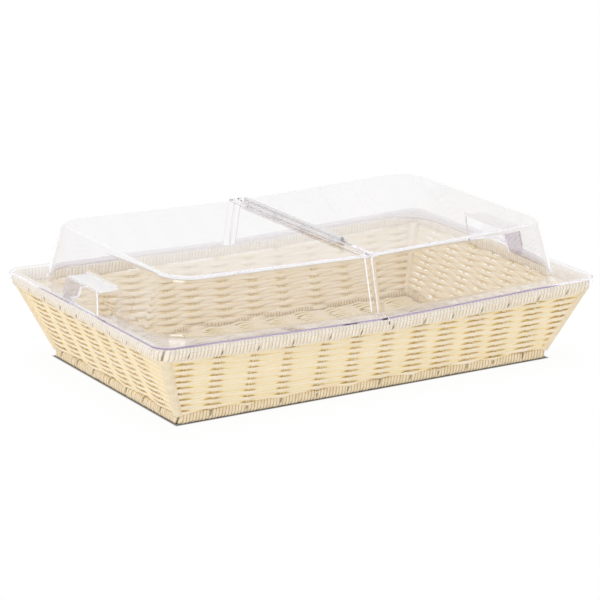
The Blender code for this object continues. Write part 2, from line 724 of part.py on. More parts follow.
def knuckle_spans(side):
    """Y spans of one leaf's knuckles: the left leaf has the two end ones, the right those between."""
    pitch = (HINGE_REAR_Y - HINGE_FRONT_Y) / KNUCKLE_COUNT
    first = 0 if side < 0 else 1
    spans = []
    for index in range(first, KNUCKLE_COUNT, 2):
        start = HINGE_FRONT_Y + pitch * index
        spans.append((start + KNUCKLE_GAP / 2, start + pitch - KNUCKLE_GAP / 2))
    return spans


def build_leaf(name, side, clear):
    """One hinge leaf: a plate with fingers under its knuckles, bored for the pin and rivets."""
    back_x = side * (SEAM_GAP / 2 + RIB_WIDTH)
    comb_x = side * (KNUCKLE_RADIUS + LEAF_RELIEF)
    finger_x = side * LEAF_FINGER_INSET
    front_y = HINGE_FRONT_Y + KNUCKLE_GAP / 2
    rear_y = HINGE_REAR_Y - KNUCKLE_GAP / 2
    outline = [(back_x, front_y), (comb_x, front_y)]
    for start, end in knuckle_spans(side):
        low = start + FINGER_SHOULDER
        high = end - FINGER_SHOULDER
        outline += [(comb_x, low), (finger_x, low), (finger_x, high), (comb_x, high)]
    outline += [(comb_x, rear_y), (back_x, rear_y)]
    placing = droop(side) @ Matrix.Translation((0.0, 0.0, (LEAF_BOTTOM + LEAF_TOP) / 2))
    leaf = add_part(name, plate_mesh(name, outline, LEAF_THICKNESS, placing), clear)
    for index, (start, end) in enumerate(knuckle_spans(side)):
        knuckle = cylinder_mesh(
            name + "_knuckle", KNUCKLE_RADIUS, (0.0, start, PIN_Z), (0.0, end, PIN_Z), KNUCKLE_SIDES)
        add_boolean(leaf, "UNION", add_cutter(name + "_knuckle_" + str(index + 1), knuckle))
    bore = cylinder_mesh(
        name + "_bore", PIN_RADIUS + PIN_CLEARANCE,
        (0.0, HINGE_FRONT_Y - OVERRUN, PIN_Z), (0.0, HINGE_REAR_Y + OVERRUN, PIN_Z), KNUCKLE_SIDES)
    add_boolean(leaf, "DIFFERENCE", add_cutter(name + "_bore", bore))
    for index, y in enumerate(rivet_places()):
        hole = cylinder_mesh(
            name + "_hole", RIVET_SHANK_RADIUS + RIVET_CLEARANCE,
            (side * RIVET_X, y, LEAF_BOTTOM - OVERRUN), (side * RIVET_X, y, LEAF_TOP + OVERRUN), RIVET_SIDES)
        add_boolean(leaf, "DIFFERENCE", add_cutter(name + "_hole_" + str(index + 1), hole, droop(side)))


def turned_mesh(name, profile, sides, placing):
    """A solid of revolution about its own Z from (radius, z) points, top to bottom."""
    work = bmesh.new()
    chain = [work.verts.new((radius, 0.0, z)) for radius, z in profile]
    edges = [work.edges.new(pair) for pair in zip(chain, chain[1:])]
    bmesh.ops.spin(
        work, geom=chain + edges, cent=(0.0, 0.0, 0.0), axis=(0.0, 0.0, 1.0),
        angle=2 * math.pi, steps=sides, use_merge=True)
    bmesh.ops.remove_doubles(work, verts=work.verts, dist=MERGE_DISTANCE)
    bmesh.ops.transform(work, matrix=placing, verts=work.verts)
    return to_mesh(name, work)


def build_rivets(name, side, steel):
    """The rivets that hold one leaf to the rib under it, each its own piece."""
    head_low = LEAF_TOP + SEAT_GAP
    tail_high = DOME_TOP - COVER_SHEET - SEAT_GAP
    profile = [
        (0.0, head_low + RIVET_HEAD_HEIGHT),
        (RIVET_HEAD_RADIUS - RIVET_HEAD_HEIGHT / 2, head_low + RIVET_HEAD_HEIGHT),
        (RIVET_HEAD_RADIUS, head_low + RIVET_HEAD_HEIGHT / 2),
        (RIVET_HEAD_RADIUS, head_low),
        (RIVET_SHANK_RADIUS, head_low),
        (RIVET_SHANK_RADIUS, tail_high),
        (RIVET_HEAD_RADIUS, tail_high),
        (RIVET_HEAD_RADIUS, tail_high - RIVET_HEAD_HEIGHT),
        (0.0, tail_high - RIVET_HEAD_HEIGHT),
    ]
    for index, y in enumerate(rivet_places()):
        rivet_name = name + "_" + str(index + 1)
        placing = droop(side) @ Matrix.Translation((side * RIVET_X, y, 0.0))
        add_part(rivet_name, turned_mesh(rivet_name, profile, RIVET_SIDES, placing), steel)


def build_pin(steel):
    """The hinge pin along Y, with a head at each end."""
    half = (HINGE_REAR_Y - HINGE_FRONT_Y) / 2 + SEAT_GAP
    profile = [
        (0.0, half + PIN_HEAD_LENGTH),
        (PIN_HEAD_RADIUS, half + PIN_HEAD_LENGTH),
        (PIN_HEAD_RADIUS, half),
        (PIN_RADIUS, half),
        (PIN_RADIUS, -half),
        (PIN_HEAD_RADIUS, -half),
        (PIN_HEAD_RADIUS, -half - PIN_HEAD_LENGTH),
        (0.0, -half - PIN_HEAD_LENGTH),
    ]
    lying = Matrix.Rotation(math.pi / 2, 4, "X")
    pin = add_part("hinge_pin", turned_mesh("hinge_pin", profile, KNUCKLE_SIDES, lying), steel)
    pin.location = (0.0, (HINGE_FRONT_Y + HINGE_REAR_Y) / 2, PIN_Z)


def parent_to_axis(axis, names):
    """Hang pieces from an empty on their joint's axis, without moving them."""
    for name in names:
        piece = bpy.data.objects[name]
        piece.parent = axis
        piece.matrix_parent_inverse = axis.matrix_world.inverted()


def build_lid(clear, hinge_clear, steel):
    """Both cover halves with their hinge leaves, rivets and the pin, each half on its own axis."""
    build_pin(steel)
    for word, side in SIDES.items():
        build_cover(word + "_cover", side, clear)
        build_leaf(word + "_hinge_leaf", side, hinge_clear)
        build_rivets(word + "_hinge_rivet", side, steel)
        axis = bpy.data.objects.new(word + "_cover_axis", None)
        axis.location = (0.0, 0.0, PIN_Z)
        parts.objects.link(axis)
        bpy.context.view_layer.update()
        rivets = [word + "_hinge_rivet_" + str(index + 1) for index in range(RIVET_COUNT)]
        parent_to_axis(axis, [word + "_cover", word + "_hinge_leaf"] + rivets)


for leftover in list(bpy.data.objects):
    bpy.data.objects.remove(leftover)
parts = new_collection("bread_display_bin")
cutters = new_collection("bread_display_bin_cutters")
straw = make_material("woven_poly_rattan", (0.80, 0.69, 0.44), 0.55, 0.0, 0.0)
cord = make_material("wrapped_cord", (0.84, 0.76, 0.55), 0.55, 0.0, 0.0)
wire = make_material("frame_wire", (0.42, 0.42, 0.43), 0.35, 1.0, 0.0)
polycarbonate = make_material("clear_polycarbonate", (0.95, 0.96, 0.98), 0.05, 0.0, 1.0)
hinge_plastic = make_material("clear_hinge_plastic", (0.88, 0.89, 0.93), 0.12, 0.0, 1.0)
fastener = make_material("hinge_fasteners", (0.72, 0.72, 0.74), 0.30, 1.0, 0.0)
build_basket(straw, cord, wire)
build_lid(polycarbonate, hinge_plastic, fastener)
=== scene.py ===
"""Looks of the countertop bread display bin: a woven basket under a clear cover in two hinged halves.

Every size is in metres, in the frame of the solids, and is read from their boxes where they give it.
"""
import math
import bmesh
import bpy
import numpy as np
from mathutils import Matrix, Vector


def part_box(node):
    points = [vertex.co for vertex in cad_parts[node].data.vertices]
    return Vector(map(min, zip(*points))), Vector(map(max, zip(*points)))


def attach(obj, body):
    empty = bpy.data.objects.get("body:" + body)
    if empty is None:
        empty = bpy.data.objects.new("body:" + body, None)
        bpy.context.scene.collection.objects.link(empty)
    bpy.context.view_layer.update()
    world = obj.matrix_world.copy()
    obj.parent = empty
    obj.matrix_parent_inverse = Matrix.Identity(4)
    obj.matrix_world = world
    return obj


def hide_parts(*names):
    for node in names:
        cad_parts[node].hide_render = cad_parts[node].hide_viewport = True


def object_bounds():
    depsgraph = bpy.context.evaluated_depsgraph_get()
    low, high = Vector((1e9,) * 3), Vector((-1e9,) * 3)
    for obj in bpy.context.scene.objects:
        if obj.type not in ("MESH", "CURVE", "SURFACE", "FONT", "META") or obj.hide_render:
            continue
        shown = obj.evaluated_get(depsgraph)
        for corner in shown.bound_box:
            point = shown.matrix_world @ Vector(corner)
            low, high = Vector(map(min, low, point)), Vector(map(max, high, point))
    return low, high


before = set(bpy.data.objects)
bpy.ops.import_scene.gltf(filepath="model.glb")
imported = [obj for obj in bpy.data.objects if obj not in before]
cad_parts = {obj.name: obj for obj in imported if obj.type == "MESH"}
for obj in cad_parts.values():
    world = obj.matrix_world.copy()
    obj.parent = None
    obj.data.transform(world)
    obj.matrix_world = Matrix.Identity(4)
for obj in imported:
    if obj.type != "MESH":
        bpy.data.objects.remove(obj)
cad_low, cad_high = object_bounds()

SIDES = {"left": -1, "right": 1}
CORNERS = {"front_left": (-1, -1), "front_right": (1, -1), "rear_left": (-1, 1), "rear_right": (1, 1)}
WRAP_ZONES = ["front", "rear", "left", "right"] + ["corner_" + corner for corner in CORNERS]

# Sizes of the base band, the rim with its sag under the seam, the walls, the floor and the corners:
# from the solids' boxes, or the same as theirs
base_low, base_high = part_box("base_wrap_corner_front_left")
rim_low, rim_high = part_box("rim_wrap_corner_front_left")
BASE_HALF_X = -base_low.x
BASE_HALF_Y = -base_low.y
BASE_TOP = base_high.z
BASE_RADIUS = 0.009
BASE_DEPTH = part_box("base_wrap_left")[1].x + BASE_HALF_X
RIM_HALF_X = -rim_low.x
RIM_HALF_Y = -rim_low.y
RIM_TOP = rim_high.z
RIM_BOTTOM = rim_low.z
RIM_RADIUS = 0.019
RIM_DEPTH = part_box("rim_wrap_left")[1].x + RIM_HALF_X
RIM_SAG = RIM_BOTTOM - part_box("rim_wrap_front")[0].z
SAG_REACH = RIM_HALF_X - RIM_RADIUS
WALL_OVERHANG = 0.005
FLOOR_TOP = 0.008
FLOOR_CLEARANCE = 0.0006
POST_FOOT_RADIUS = 0.005
POST_WIDENING = 0.0025

# Weave: strands of flat oval poly rattan over stakes, measured on the photographed walls.
# The long walls' stakes are spaced unevenly, and the gaps at them widen to the right.
STAKE_PITCH = 0.0435
FRONT_STAKES = (-0.2557, -0.2128, -0.1656, -0.1208, -0.0721, -0.0299, 0.0135,
                0.0564, 0.0959, 0.1365, 0.1746, 0.2175, 0.2590)
FRONT_GAPS = (0.020, 0.015, 0.010, 0.011, 0.011, 0.014, 0.016,
              0.020, 0.022, 0.025, 0.027, 0.033, 0.028)
END_STAKES = (-0.136, -0.094, -0.052, -0.010, 0.032, 0.074, 0.116)
END_GAP = 0.026
FLOOR_STAKES = 11
FLOOR_GAP = 0.019
GAP_SHARE = 0.83
LONG_ROWS = 19
END_ROWS = 21
FLOOR_ROWS = 66
STAKE_LEAN = 0.007
FLOAT_SLOPE = 0.05
STRAND_THICKNESS = 0.0024
STAKE_THICKNESS = 0.0021
STAKE_WIDTH = 0.0024
STAKE_SPACING = 0.0027
STAKE_SIDES = 8
SWING = (STRAND_THICKNESS + STAKE_THICKNESS) / 2
WALL_MIDDLE = 0.0033
RAMP_SHARE = 0.2

# A strand's height between two stakes, and what it gains where it passes one
LONG_STRAND = (0.0052, 0.0006)
END_STRAND = (0.0046, -0.0005)
FLOOR_STRAND = (0.0051, 0.0010)

# Each strand wanders a little up and down, in two waves of these lengths over 2 pi, and changes tone
STRAND_DRIFT = 0.00015
DRIFT_WAVES = (0.031, 0.083)
TONE_WAVE = 0.012

# Wound cord: turns along the rim, the base band and the corner bands
RIM_TURN = 0.0046
BASE_TURN = 0.0042
POST_TURN = 0.0046
CORD_RELIEF = 0.0011
CORD_SWELL = 0.00018
TURN_SAMPLES = 8
WINDING_SIDES = 24
WINDING_STARTS = 2

# Knots: half widths and slants of the tucked tails, their cross strokes and the corners' marks,
# and how far the base band's knots lie beside the stakes' feet
PIT_DEPTH = 0.0016
TAIL_WIDTH = 0.0012
CROSS_WIDTH = 0.0022
CROSS_SHIFT = 0.0010
KNOT_SLANT = 0.0026
CORNER_WIDTH = 0.0013
CORNER_SLANT = 0.002
BASE_KNOT_SHIFT = 0.0025

# Height on a ring's section where its tails lie, and how strong the cross stroke over them is
KNOT_LEVEL = {"rim_winding": -0.55, "base_winding": 0.2}
KNOT_CROSS = {"rim_winding": 0.0, "base_winding": 1.0}

# Cover: the solids' sizes that their boxes don't give, and finer ones of the looks alone
COVER_HALF_X = cad_high.x
COVER_HALF_Y = cad_high.y
SHEET = 0.0025
SEAT_GAP = 0.0003
FLANGE_TOP = RIM_TOP + SEAT_GAP + SHEET
LIP_DEPTH = 0.008
LIP_ROUNDING = 0.0028
FLANGE_WIDTH = 0.025
FLANGE_RADIUS = 0.0225
FOOT_RADIUS = 0.002
DOME_HEIGHT = 0.065
DOME_DRAFT = 0.017
DOME_RADIUS = 0.058
DOME_FILLET = 0.008
DRAFT_ANGLE = math.atan2(DOME_DRAFT, DOME_HEIGHT)
SEAM_HALF_GAP = 0.0008
RIB_WIDTH = 0.008
RIB_RISE = 0.002
RIB_ROUNDING = 0.0006
RIB_END = SEAM_HALF_GAP + RIB_WIDTH
RUN_START = RIB_END + 0.0008
HANDLE_HALF_WIDTH = 0.047
HANDLE_HEIGHT = 0.028
HANDLE_FRONT_DRAFT = 0.003
HANDLE_SIDE_DRAFT = 0.006
HANDLE_ROUNDING = 0.003

# Distance from the handle's middle at which the end's columns stop leaning in with its sides
LEAN_REACH = 0.117

# Zones of the cover's rows, and kinds of its columns
LIP, FRONT, EDGE, TOP, WALL, PLATE = range(6)
SEAM, RUN, ARC, END, GRIP_FOOT, GRIP_EDGE, GRIP = range(7)

# Bounces after which light led along inside the clear sheet goes straight on
LED_BOUNCES = 5.5

# Line of contact on the floor: its width, the width of its painted dark shadow, and the faint shade
# outside it
CONTACT_WIDTH = 0.0026
PAINTED_SHADOW_WIDTH = 0.0022
SHADE_START = 0.005
SHADE_END = 0.08

# Camera, matched to the corners of the flange, the dome and the base band
IMAGE_SIDE = 600
FOCAL_PIXELS = 2880.2
CAMERA_AZIMUTH = math.radians(30.826)
CAMERA_ELEVATION = math.radians(15.889)
CAMERA_DISTANCE = 3.5
CAMERA_ACROSS = -0.000195
CAMERA_UP = 0.068914


def add_camera():
    """Looks along -back, where back points from the object to the camera at the angles above."""
    back = Vector((
        -math.sin(CAMERA_AZIMUTH) * math.cos(CAMERA_ELEVATION),
        -math.cos(CAMERA_AZIMUTH) * math.cos(CAMERA_ELEVATION),
        math.sin(CAMERA_ELEVATION),
    ))
    right = Vector((math.cos(CAMERA_AZIMUTH), -math.sin(CAMERA_AZIMUTH), 0))
    up = back.cross(right)
    data = bpy.data.cameras.new("camera")
    data.sensor_width = 36
    data.lens = FOCAL_PIXELS / IMAGE_SIDE * data.sensor_width
    data.clip_start = 0.05
    data.clip_end = 60
    camera = bpy.data.objects.new("camera", data)
    bpy.context.scene.collection.objects.link(camera)
    place = right * CAMERA_ACROSS + up * CAMERA_UP + back * CAMERA_DISTANCE
    turn = Matrix((right, up, back)).transposed().to_4x4()
    camera.matrix_world = Matrix.Translation(place) @ turn
    bpy.context.scene.camera = camera


def paint(hex_colour):
    """Linear RGBA of an sRGB hex colour."""
    channels = [int(hex_colour[i:i + 2], 16) / 255 for i in (0, 2, 4)]
    linear = [c / 12.92 if c <= 0.04045 else ((c + 0.055) / 1.055) ** 2.4 for c in channels]
    return (*linear, 1)


def add_node(tree, kind, inputs=None, **settings):
    """Adds a node, sets its properties, and fills each named socket from a value or an output."""
    node = tree.nodes.new(kind)
    for name, value in settings.items():
        setattr(node, name, value)
    for socket, value in (inputs or {}).items():
        if isinstance(value, bpy.types.NodeSocket):
            tree.links.new(value, node.inputs[socket])
        else:
            node.inputs[socket].default_value = value
    return node


def new_material(name):
    """A material with an empty node tree, and the tree."""
    material = bpy.data.materials.new(name)
    material.use_nodes = True
    material.node_tree.nodes.clear()
    return material, material.node_tree


def strand_finish(name, crest, pit, pale, roughness):
    """Extruded poly rattan: a matte straw skin with fine lengthwise ridges.

    One point attribute paints shade into the recesses, from the crest colour to the pit colour: gold in
    the walls' gaps and darker in the cords' grooves, a painted shade and bounce light. "knot" paints
    the knots' pits dark brown, a painted shade over their real shade, and "tone" makes each strand or
    turn a little paler than the next. UV is metres along the strand and the share of the way round it.
    """
    material, tree = new_material(name)
    painted_recess_shade = add_node(tree, "ShaderNodeAttribute", attribute_name="painted_recess_shade")
    tone = add_node(tree, "ShaderNodeAttribute", attribute_name="tone")
    place = add_node(tree, "ShaderNodeTexCoord")
    depth = add_node(tree, "ShaderNodeMapRange", {
        0: painted_recess_shade.outputs["Fac"], 1: 0.3, 2: 0.95, 3: 0.0, 4: 1.0,
    }, interpolation_type="SMOOTHSTEP")
    body = add_node(tree, "ShaderNodeMix", {
        0: tone.outputs["Fac"], 6: paint(crest), 7: paint(pale),
    }, data_type="RGBA")
    # Cloudy mottle in patches of about 6 mm
    mottle = add_node(tree, "ShaderNodeTexNoise", {
        "Vector": place.outputs["Object"], "Scale": 160.0, "Detail": 2.0,
    })
    mottle_share = add_node(tree, "ShaderNodeMapRange", {
        0: mottle.outputs[0], 1: 0.35, 2: 0.7, 3: 0.0, 4: 0.2,
    })
    cloudy = add_node(tree, "ShaderNodeMix", {
        0: mottle_share.outputs[0], 6: body.outputs[2], 7: paint(pit),
    }, data_type="RGBA", blend_type="MULTIPLY")
    # Painted shade and bounce light: recessed points take the pit colour
    colour = add_node(tree, "ShaderNodeMix", {
        0: depth.outputs[0], 6: cloudy.outputs[2], 7: paint(pit),
    }, data_type="RGBA")
    # Painted shade: the knots' pits turn dark brown, deepening the shade of their real hollows
    knot = add_node(tree, "ShaderNodeAttribute", attribute_name="knot")
    marked = add_node(tree, "ShaderNodeMix", {
        0: knot.outputs["Fac"], 6: colour.outputs[2], 7: paint("75603C"),
    }, data_type="RGBA")
    # Ridges along the strand, 14 round it, drawn coarser than the real die lines so that they show
    stretch = add_node(tree, "ShaderNodeMapping", {0: place.outputs["UV"], 3: (40.0, 14.0, 1.0)})
    ridges = add_node(tree, "ShaderNodeTexNoise", {
        "Vector": stretch.outputs[0], "Scale": 1.0, "Detail": 1.0,
    })
    bump = add_node(tree, "ShaderNodeBump", {
        "Strength": 0.35, "Distance": 0.0002, "Height": ridges.outputs[0],
    })
    shader = add_node(tree, "ShaderNodeBsdfPrincipled", {
        "Base Color": marked.outputs[2], "Roughness": roughness, "IOR": 1.49,
        "Normal": bump.outputs[0], "Sheen Weight": 0.12, "Sheen Roughness": 0.5,
    })
    add_node(tree, "ShaderNodeOutputMaterial", {"Surface": shader.outputs[0]})
    return material


def clear_sheet():
    """Polished polycarbonate: see-through sheet that shows by its edges and its reflections.

    Light for shadows and bounces goes straight through, so the sheet lights what is under it. Light
    that has been led along inside the sheet for many bounces leaves it faintly violet, as at its
    edges. The "frost" attribute gives the finely grained grip on top of the handles.
    """
    material, tree = new_material("polished_polycarbonate")
    frost = add_node(tree, "ShaderNodeAttribute", attribute_name="frost")
    rough = add_node(tree, "ShaderNodeMapRange", {
        0: frost.outputs["Fac"], 1: 0.0, 2: 1.0, 3: 0.015, 4: 0.35,
    })
    seen_through = add_node(tree, "ShaderNodeMapRange", {
        0: frost.outputs["Fac"], 1: 0.0, 2: 1.0, 3: 1.0, 4: 0.55,
    })
    shader = add_node(tree, "ShaderNodeBsdfPrincipled", {
        "Base Color": paint("FDFDFE"), "Roughness": rough.outputs[0], "IOR": 1.585,
        "Transmission Weight": seen_through.outputs[0],
        "Coat Weight": 0.45, "Coat Roughness": 0.02, "Coat IOR": 1.6,
    })
    path = add_node(tree, "ShaderNodeLightPath")
    led = add_node(tree, "ShaderNodeMath", {
        0: path.outputs["Ray Depth"], 1: LED_BOUNCES,
    }, operation="GREATER_THAN")
    colour = add_node(tree, "ShaderNodeMix", {
        0: led.outputs[0], 6: (0.97, 0.97, 0.975, 1), 7: paint("E6E1E8"),
    }, data_type="RGBA")
    clear = add_node(tree, "ShaderNodeBsdfTransparent", {"Color": colour.outputs[2]})
    soft = add_node(tree, "ShaderNodeMath", {
        0: path.outputs["Is Shadow Ray"], 1: path.outputs["Is Diffuse Ray"],
    }, operation="MAXIMUM")
    either = add_node(tree, "ShaderNodeMath", {
        0: soft.outputs[0], 1: led.outputs[0],
    }, operation="MAXIMUM")
    mix = add_node(tree, "ShaderNodeMixShader", {
        0: either.outputs[0], 1: shader.outputs[0], 2: clear.outputs[0],
    })
    add_node(tree, "ShaderNodeOutputMaterial", {"Surface": mix.outputs[0]})
    return material


def hinge_plastic():
    """Thin polypropylene hinge strip: a faint milky white that half hides what lies under it."""
    material, tree = new_material("milky_polypropylene")
    place = add_node(tree, "ShaderNodeTexCoord")
    # Flow marks of the moulding, 3 mm apart
    marks = add_node(tree, "ShaderNodeTexNoise", {
        "Vector": place.outputs["Object"], "Scale": 330.0, "Detail": 1.0,
    })
    haze = add_node(tree, "ShaderNodeMapRange", {
        0: marks.outputs[0], 1: 0.3, 2: 0.7, 3: 0.40, 4: 0.56,
    })
    shader = add_node(tree, "ShaderNodeBsdfPrincipled", {
        "Base Color": paint("F3F2F5"), "Roughness": 0.22, "IOR": 1.49,
    })
    path = add_node(tree, "ShaderNodeLightPath")
    clear = add_node(tree, "ShaderNodeBsdfTransparent", {"Color": (0.97, 0.97, 0.975, 1)})
    soft = add_node(tree, "ShaderNodeMath", {
        0: path.outputs["Is Shadow Ray"], 1: path.outputs["Is Diffuse Ray"],
    }, operation="MAXIMUM")
    seen_through = add_node(tree, "ShaderNodeMath", {
        0: soft.outputs[0], 1: haze.outputs[0],
    }, operation="MAXIMUM")
    mix = add_node(tree, "ShaderNodeMixShader", {
        0: seen_through.outputs[0], 1: shader.outputs[0], 2: clear.outputs[0],
    })
    add_node(tree, "ShaderNodeOutputMaterial", {"Surface": mix.outputs[0]})
    return material


def drawn_steel(name, colour, roughness):
    """Drawn or turned steel: grey metal whose gloss changes a little about every millimetre."""
    material, tree = new_material(name)
    place = add_node(tree, "ShaderNodeTexCoord")
    lines = add_node(tree, "ShaderNodeTexNoise", {
        "Vector": place.outputs["Object"], "Scale": 900.0, "Detail": 2.0,
    })
    rough = add_node(tree, "ShaderNodeMapRange", {
        0: lines.outputs[0], 1: 0.3, 2: 0.7, 3: roughness - 0.07, 4: roughness + 0.07,
    })
    shader = add_node(tree, "ShaderNodeBsdfPrincipled", {
        "Base Color": paint(colour), "Roughness": rough.outputs[0], "Metallic": 1.0,
    })
    add_node(tree, "ShaderNodeOutputMaterial", {"Surface": shader.outputs[0]})
    return material


def white_surround():
    """A plain white surround that lights the object evenly.

    The camera sees it white. Reflections and light through the sheet see it white up to a third of
    the way overhead and dimmer above that, as in a soft-lit studio.
    """
    world = bpy.data.worlds.new("surround")
    bpy.context.scene.world = world
    world.use_nodes = True
    tree = world.node_tree
    tree.nodes.clear()
    path = add_node(tree, "ShaderNodeLightPath")
    place = add_node(tree, "ShaderNodeTexCoord")
    height = add_node(tree, "ShaderNodeSeparateXYZ", {0: place.outputs["Generated"]})
    fall = add_node(tree, "ShaderNodeMapRange", {
        0: height.outputs["Z"], 1: 0.55, 2: 0.98, 3: 1.0, 4: 0.75,
    }, interpolation_type="SMOOTHSTEP")
    seen = add_node(tree, "ShaderNodeMath", {
        0: path.outputs["Is Glossy Ray"], 1: path.outputs["Is Transmission Ray"],
    }, operation="MAXIMUM")
    level = add_node(tree, "ShaderNodeMix", {
        0: seen.outputs[0], 2: 0.95, 3: fall.outputs[0],
    }, data_type="FLOAT")
    strength = add_node(tree, "ShaderNodeMix", {
        0: path.outputs["Is Camera Ray"], 2: level.outputs[0], 3: 1.0,
    }, data_type="FLOAT")
    sky = add_node(tree, "ShaderNodeBackground", {
        "Color": (1, 1, 1, 1), "Strength": strength.outputs[0],
    })
    add_node(tree, "ShaderNodeOutputWorld", {"Surface": sky.outputs[0]})


def floor_stage():
    """A white floor with a painted contact shadow: a dark line at the base band.

    The distance outside the band's oblong is the length of (|x| - half_x, |y| - half_y), each not
    less than 0. With it, the shaded floor gives way to an even white.
    """
    material, tree = new_material("white_floor")
    place = add_node(tree, "ShaderNodeTexCoord")
    mirrored = add_node(tree, "ShaderNodeVectorMath", {0: place.outputs["Object"]}, operation="ABSOLUTE")
    outside = add_node(tree, "ShaderNodeVectorMath", {
        0: mirrored.outputs[0], 1: (BASE_HALF_X, BASE_HALF_Y, 0.0),
    }, operation="SUBTRACT")
    clipped = add_node(tree, "ShaderNodeVectorMath", {
        0: outside.outputs[0], 1: (0.0, 0.0, 0.0),
    }, operation="MAXIMUM")
    reach = add_node(tree, "ShaderNodeVectorMath", {0: clipped.outputs[0]}, operation="LENGTH")
    near = add_node(tree, "ShaderNodeMapRange", {
        0: reach.outputs["Value"], 1: 0.0, 2: CONTACT_WIDTH, 3: 0.0, 4: 0.94,
    })
    far = add_node(tree, "ShaderNodeMapRange", {
        0: reach.outputs["Value"], 1: SHADE_START, 2: SHADE_END, 3: 0.0, 4: 0.06,
    }, interpolation_type="SMOOTHSTEP")
    white = add_node(tree, "ShaderNodeMath", {0: near.outputs[0], 1: far.outputs[0]}, operation="ADD")
    # Painted shadow: the floor's own colour darkens towards the band, deepening the real contact shade
    under = add_node(tree, "ShaderNodeMapRange", {
        0: reach.outputs["Value"], 1: 0.0, 2: PAINTED_SHADOW_WIDTH, 3: 0.28, 4: 0.8,
    })
    plain = add_node(tree, "ShaderNodeBsdfDiffuse", {"Color": under.outputs[0]})
    glow = add_node(tree, "ShaderNodeEmission", {"Color": (1, 1, 1, 1), "Strength": 1.0})
    mix = add_node(tree, "ShaderNodeMixShader", {
        0: white.outputs[0], 1: plain.outputs[0], 2: glow.outputs[0],
    })
    add_node(tree, "ShaderNodeOutputMaterial", {"Surface": mix.outputs[0]})
    mesh = bpy.data.meshes.new("floor_stage")
    side = 12.0
    corners = [(-side, -side, 0), (side, -side, 0), (side, side, 0), (-side, side, 0)]
    mesh.from_pydata(corners, [], [(0, 1, 2, 3)])
    mesh.materials.append(material)
    floor = bpy.data.objects.new("floor_stage", mesh)
    bpy.context.scene.collection.objects.link(floor)


def add_lamp(name, place, target, size, power):
    """A square lamp at a place, turned to its target."""
    data = bpy.data.lights.new(name, "AREA")
    data.size = size
    data.energy = power
    lamp = bpy.data.objects.new(name, data)
    bpy.context.scene.collection.objects.link(lamp)
    aim = (Vector(target) - Vector(place)).to_track_quat("-Z", "Y")
    lamp.matrix_world = Matrix.Translation(place) @ aim.to_matrix().to_4x4()


def add_piece(name, points, polygons, body, material, attributes=None, uv=None):
    """Makes a smooth mesh piece that rides on a body.

    points is (n, 3), polygons a list of integer arrays of one polygon size each, attributes holds
    one value a point by name, and uv one pair a point.
    """
    mesh = bpy.data.meshes.new(name)
    corners = np.concatenate([block.ravel() for block in polygons])
    sizes = np.concatenate([np.full(len(block), block.shape[1]) for block in polygons])
    starts = np.concatenate([[0], np.cumsum(sizes)[:-1]])
    mesh.vertices.add(len(points))
    mesh.vertices.foreach_set("co", np.asarray(points, dtype=np.float32).ravel())
    mesh.loops.add(len(corners))
    mesh.loops.foreach_set("vertex_index", corners.astype(np.int32))
    mesh.polygons.add(len(sizes))
    mesh.polygons.foreach_set("loop_start", starts.astype(np.int32))
    mesh.update(calc_edges=True)
    for key, values in (attributes or {}).items():
        layer = mesh.attributes.new(key, "FLOAT", "POINT")
        layer.data.foreach_set("value", np.asarray(values, dtype=np.float32).ravel())
    if uv is not None:
        layer = mesh.uv_layers.new(name="UVMap")
        layer.data.foreach_set("uv", np.asarray(uv, dtype=np.float32).reshape(-1, 2)[corners].ravel())
    mesh.shade_smooth()
    mesh.materials.append(material)
    piece = bpy.data.objects.new(name, mesh)
    bpy.context.scene.collection.objects.link(piece)
    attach(piece, body)
    return piece


def tube_quads(tubes, rings, sides, closed=False):
    """Quads of many tubes whose points are numbered tube by tube, ring by ring.

    closed joins each tube's last ring to its first.
    """
    ring = np.arange(rings if closed else rings - 1)[:, None]
    side = np.arange(sides)[None, :]
    next_ring = (ring + 1) % rings
    next_side = (side + 1) % sides
    one = np.stack([
        ring * sides + side, next_ring * sides + side,
        next_ring * sides + next_side, ring * sides + next_side,
    ], axis=-1).reshape(-1, 4)
    return (np.arange(tubes)[:, None, None] * rings * sides + one[None]).reshape(-1, 4)


def tube_caps(tubes, rings, sides):
    """One flat polygon at each end of each tube."""
    start = np.arange(tubes)[:, None] * rings * sides
    first = start + np.arange(sides)[None, :]
    last = start + (rings - 1) * sides + np.arange(sides)[None, ::-1]
    return np.concatenate([first, last])


def rounded(values, power):
    """Values raised to a power with their sign kept. A power below 1 makes a circle squarer."""
    return np.sign(values) * np.abs(values) ** power


def hump(distance, width):
    """A smooth bell that falls to 1/e at the width."""
    return np.exp(-(distance / width) ** 2)


def rim_drop(x):
    """How far the rim sags at x: a parabola, deepest under the seam, which ends at the corners."""
    share = np.minimum(1, np.abs(x) / SAG_REACH)
    return RIM_SAG * (1 - share ** 2)


def wall_half(z, axis):
    """Half size of the walls' outer face at a height, along X (axis 0) or Y (axis 1)."""
    low = (BASE_HALF_X, BASE_HALF_Y)[axis]
    high = (RIM_HALF_X, RIM_HALF_Y)[axis] - WALL_OVERHANG
    return low + (high - low) * (z - BASE_TOP) / (RIM_BOTTOM - BASE_TOP)


def ring_corner(half_x, half_y, radius):
    """Middle of a ring's corner arc in the +X +Y quarter, seen from above."""
    reach = radius * (1 - math.cos(math.pi / 4))
    return np.array([half_x - reach, half_y - reach])


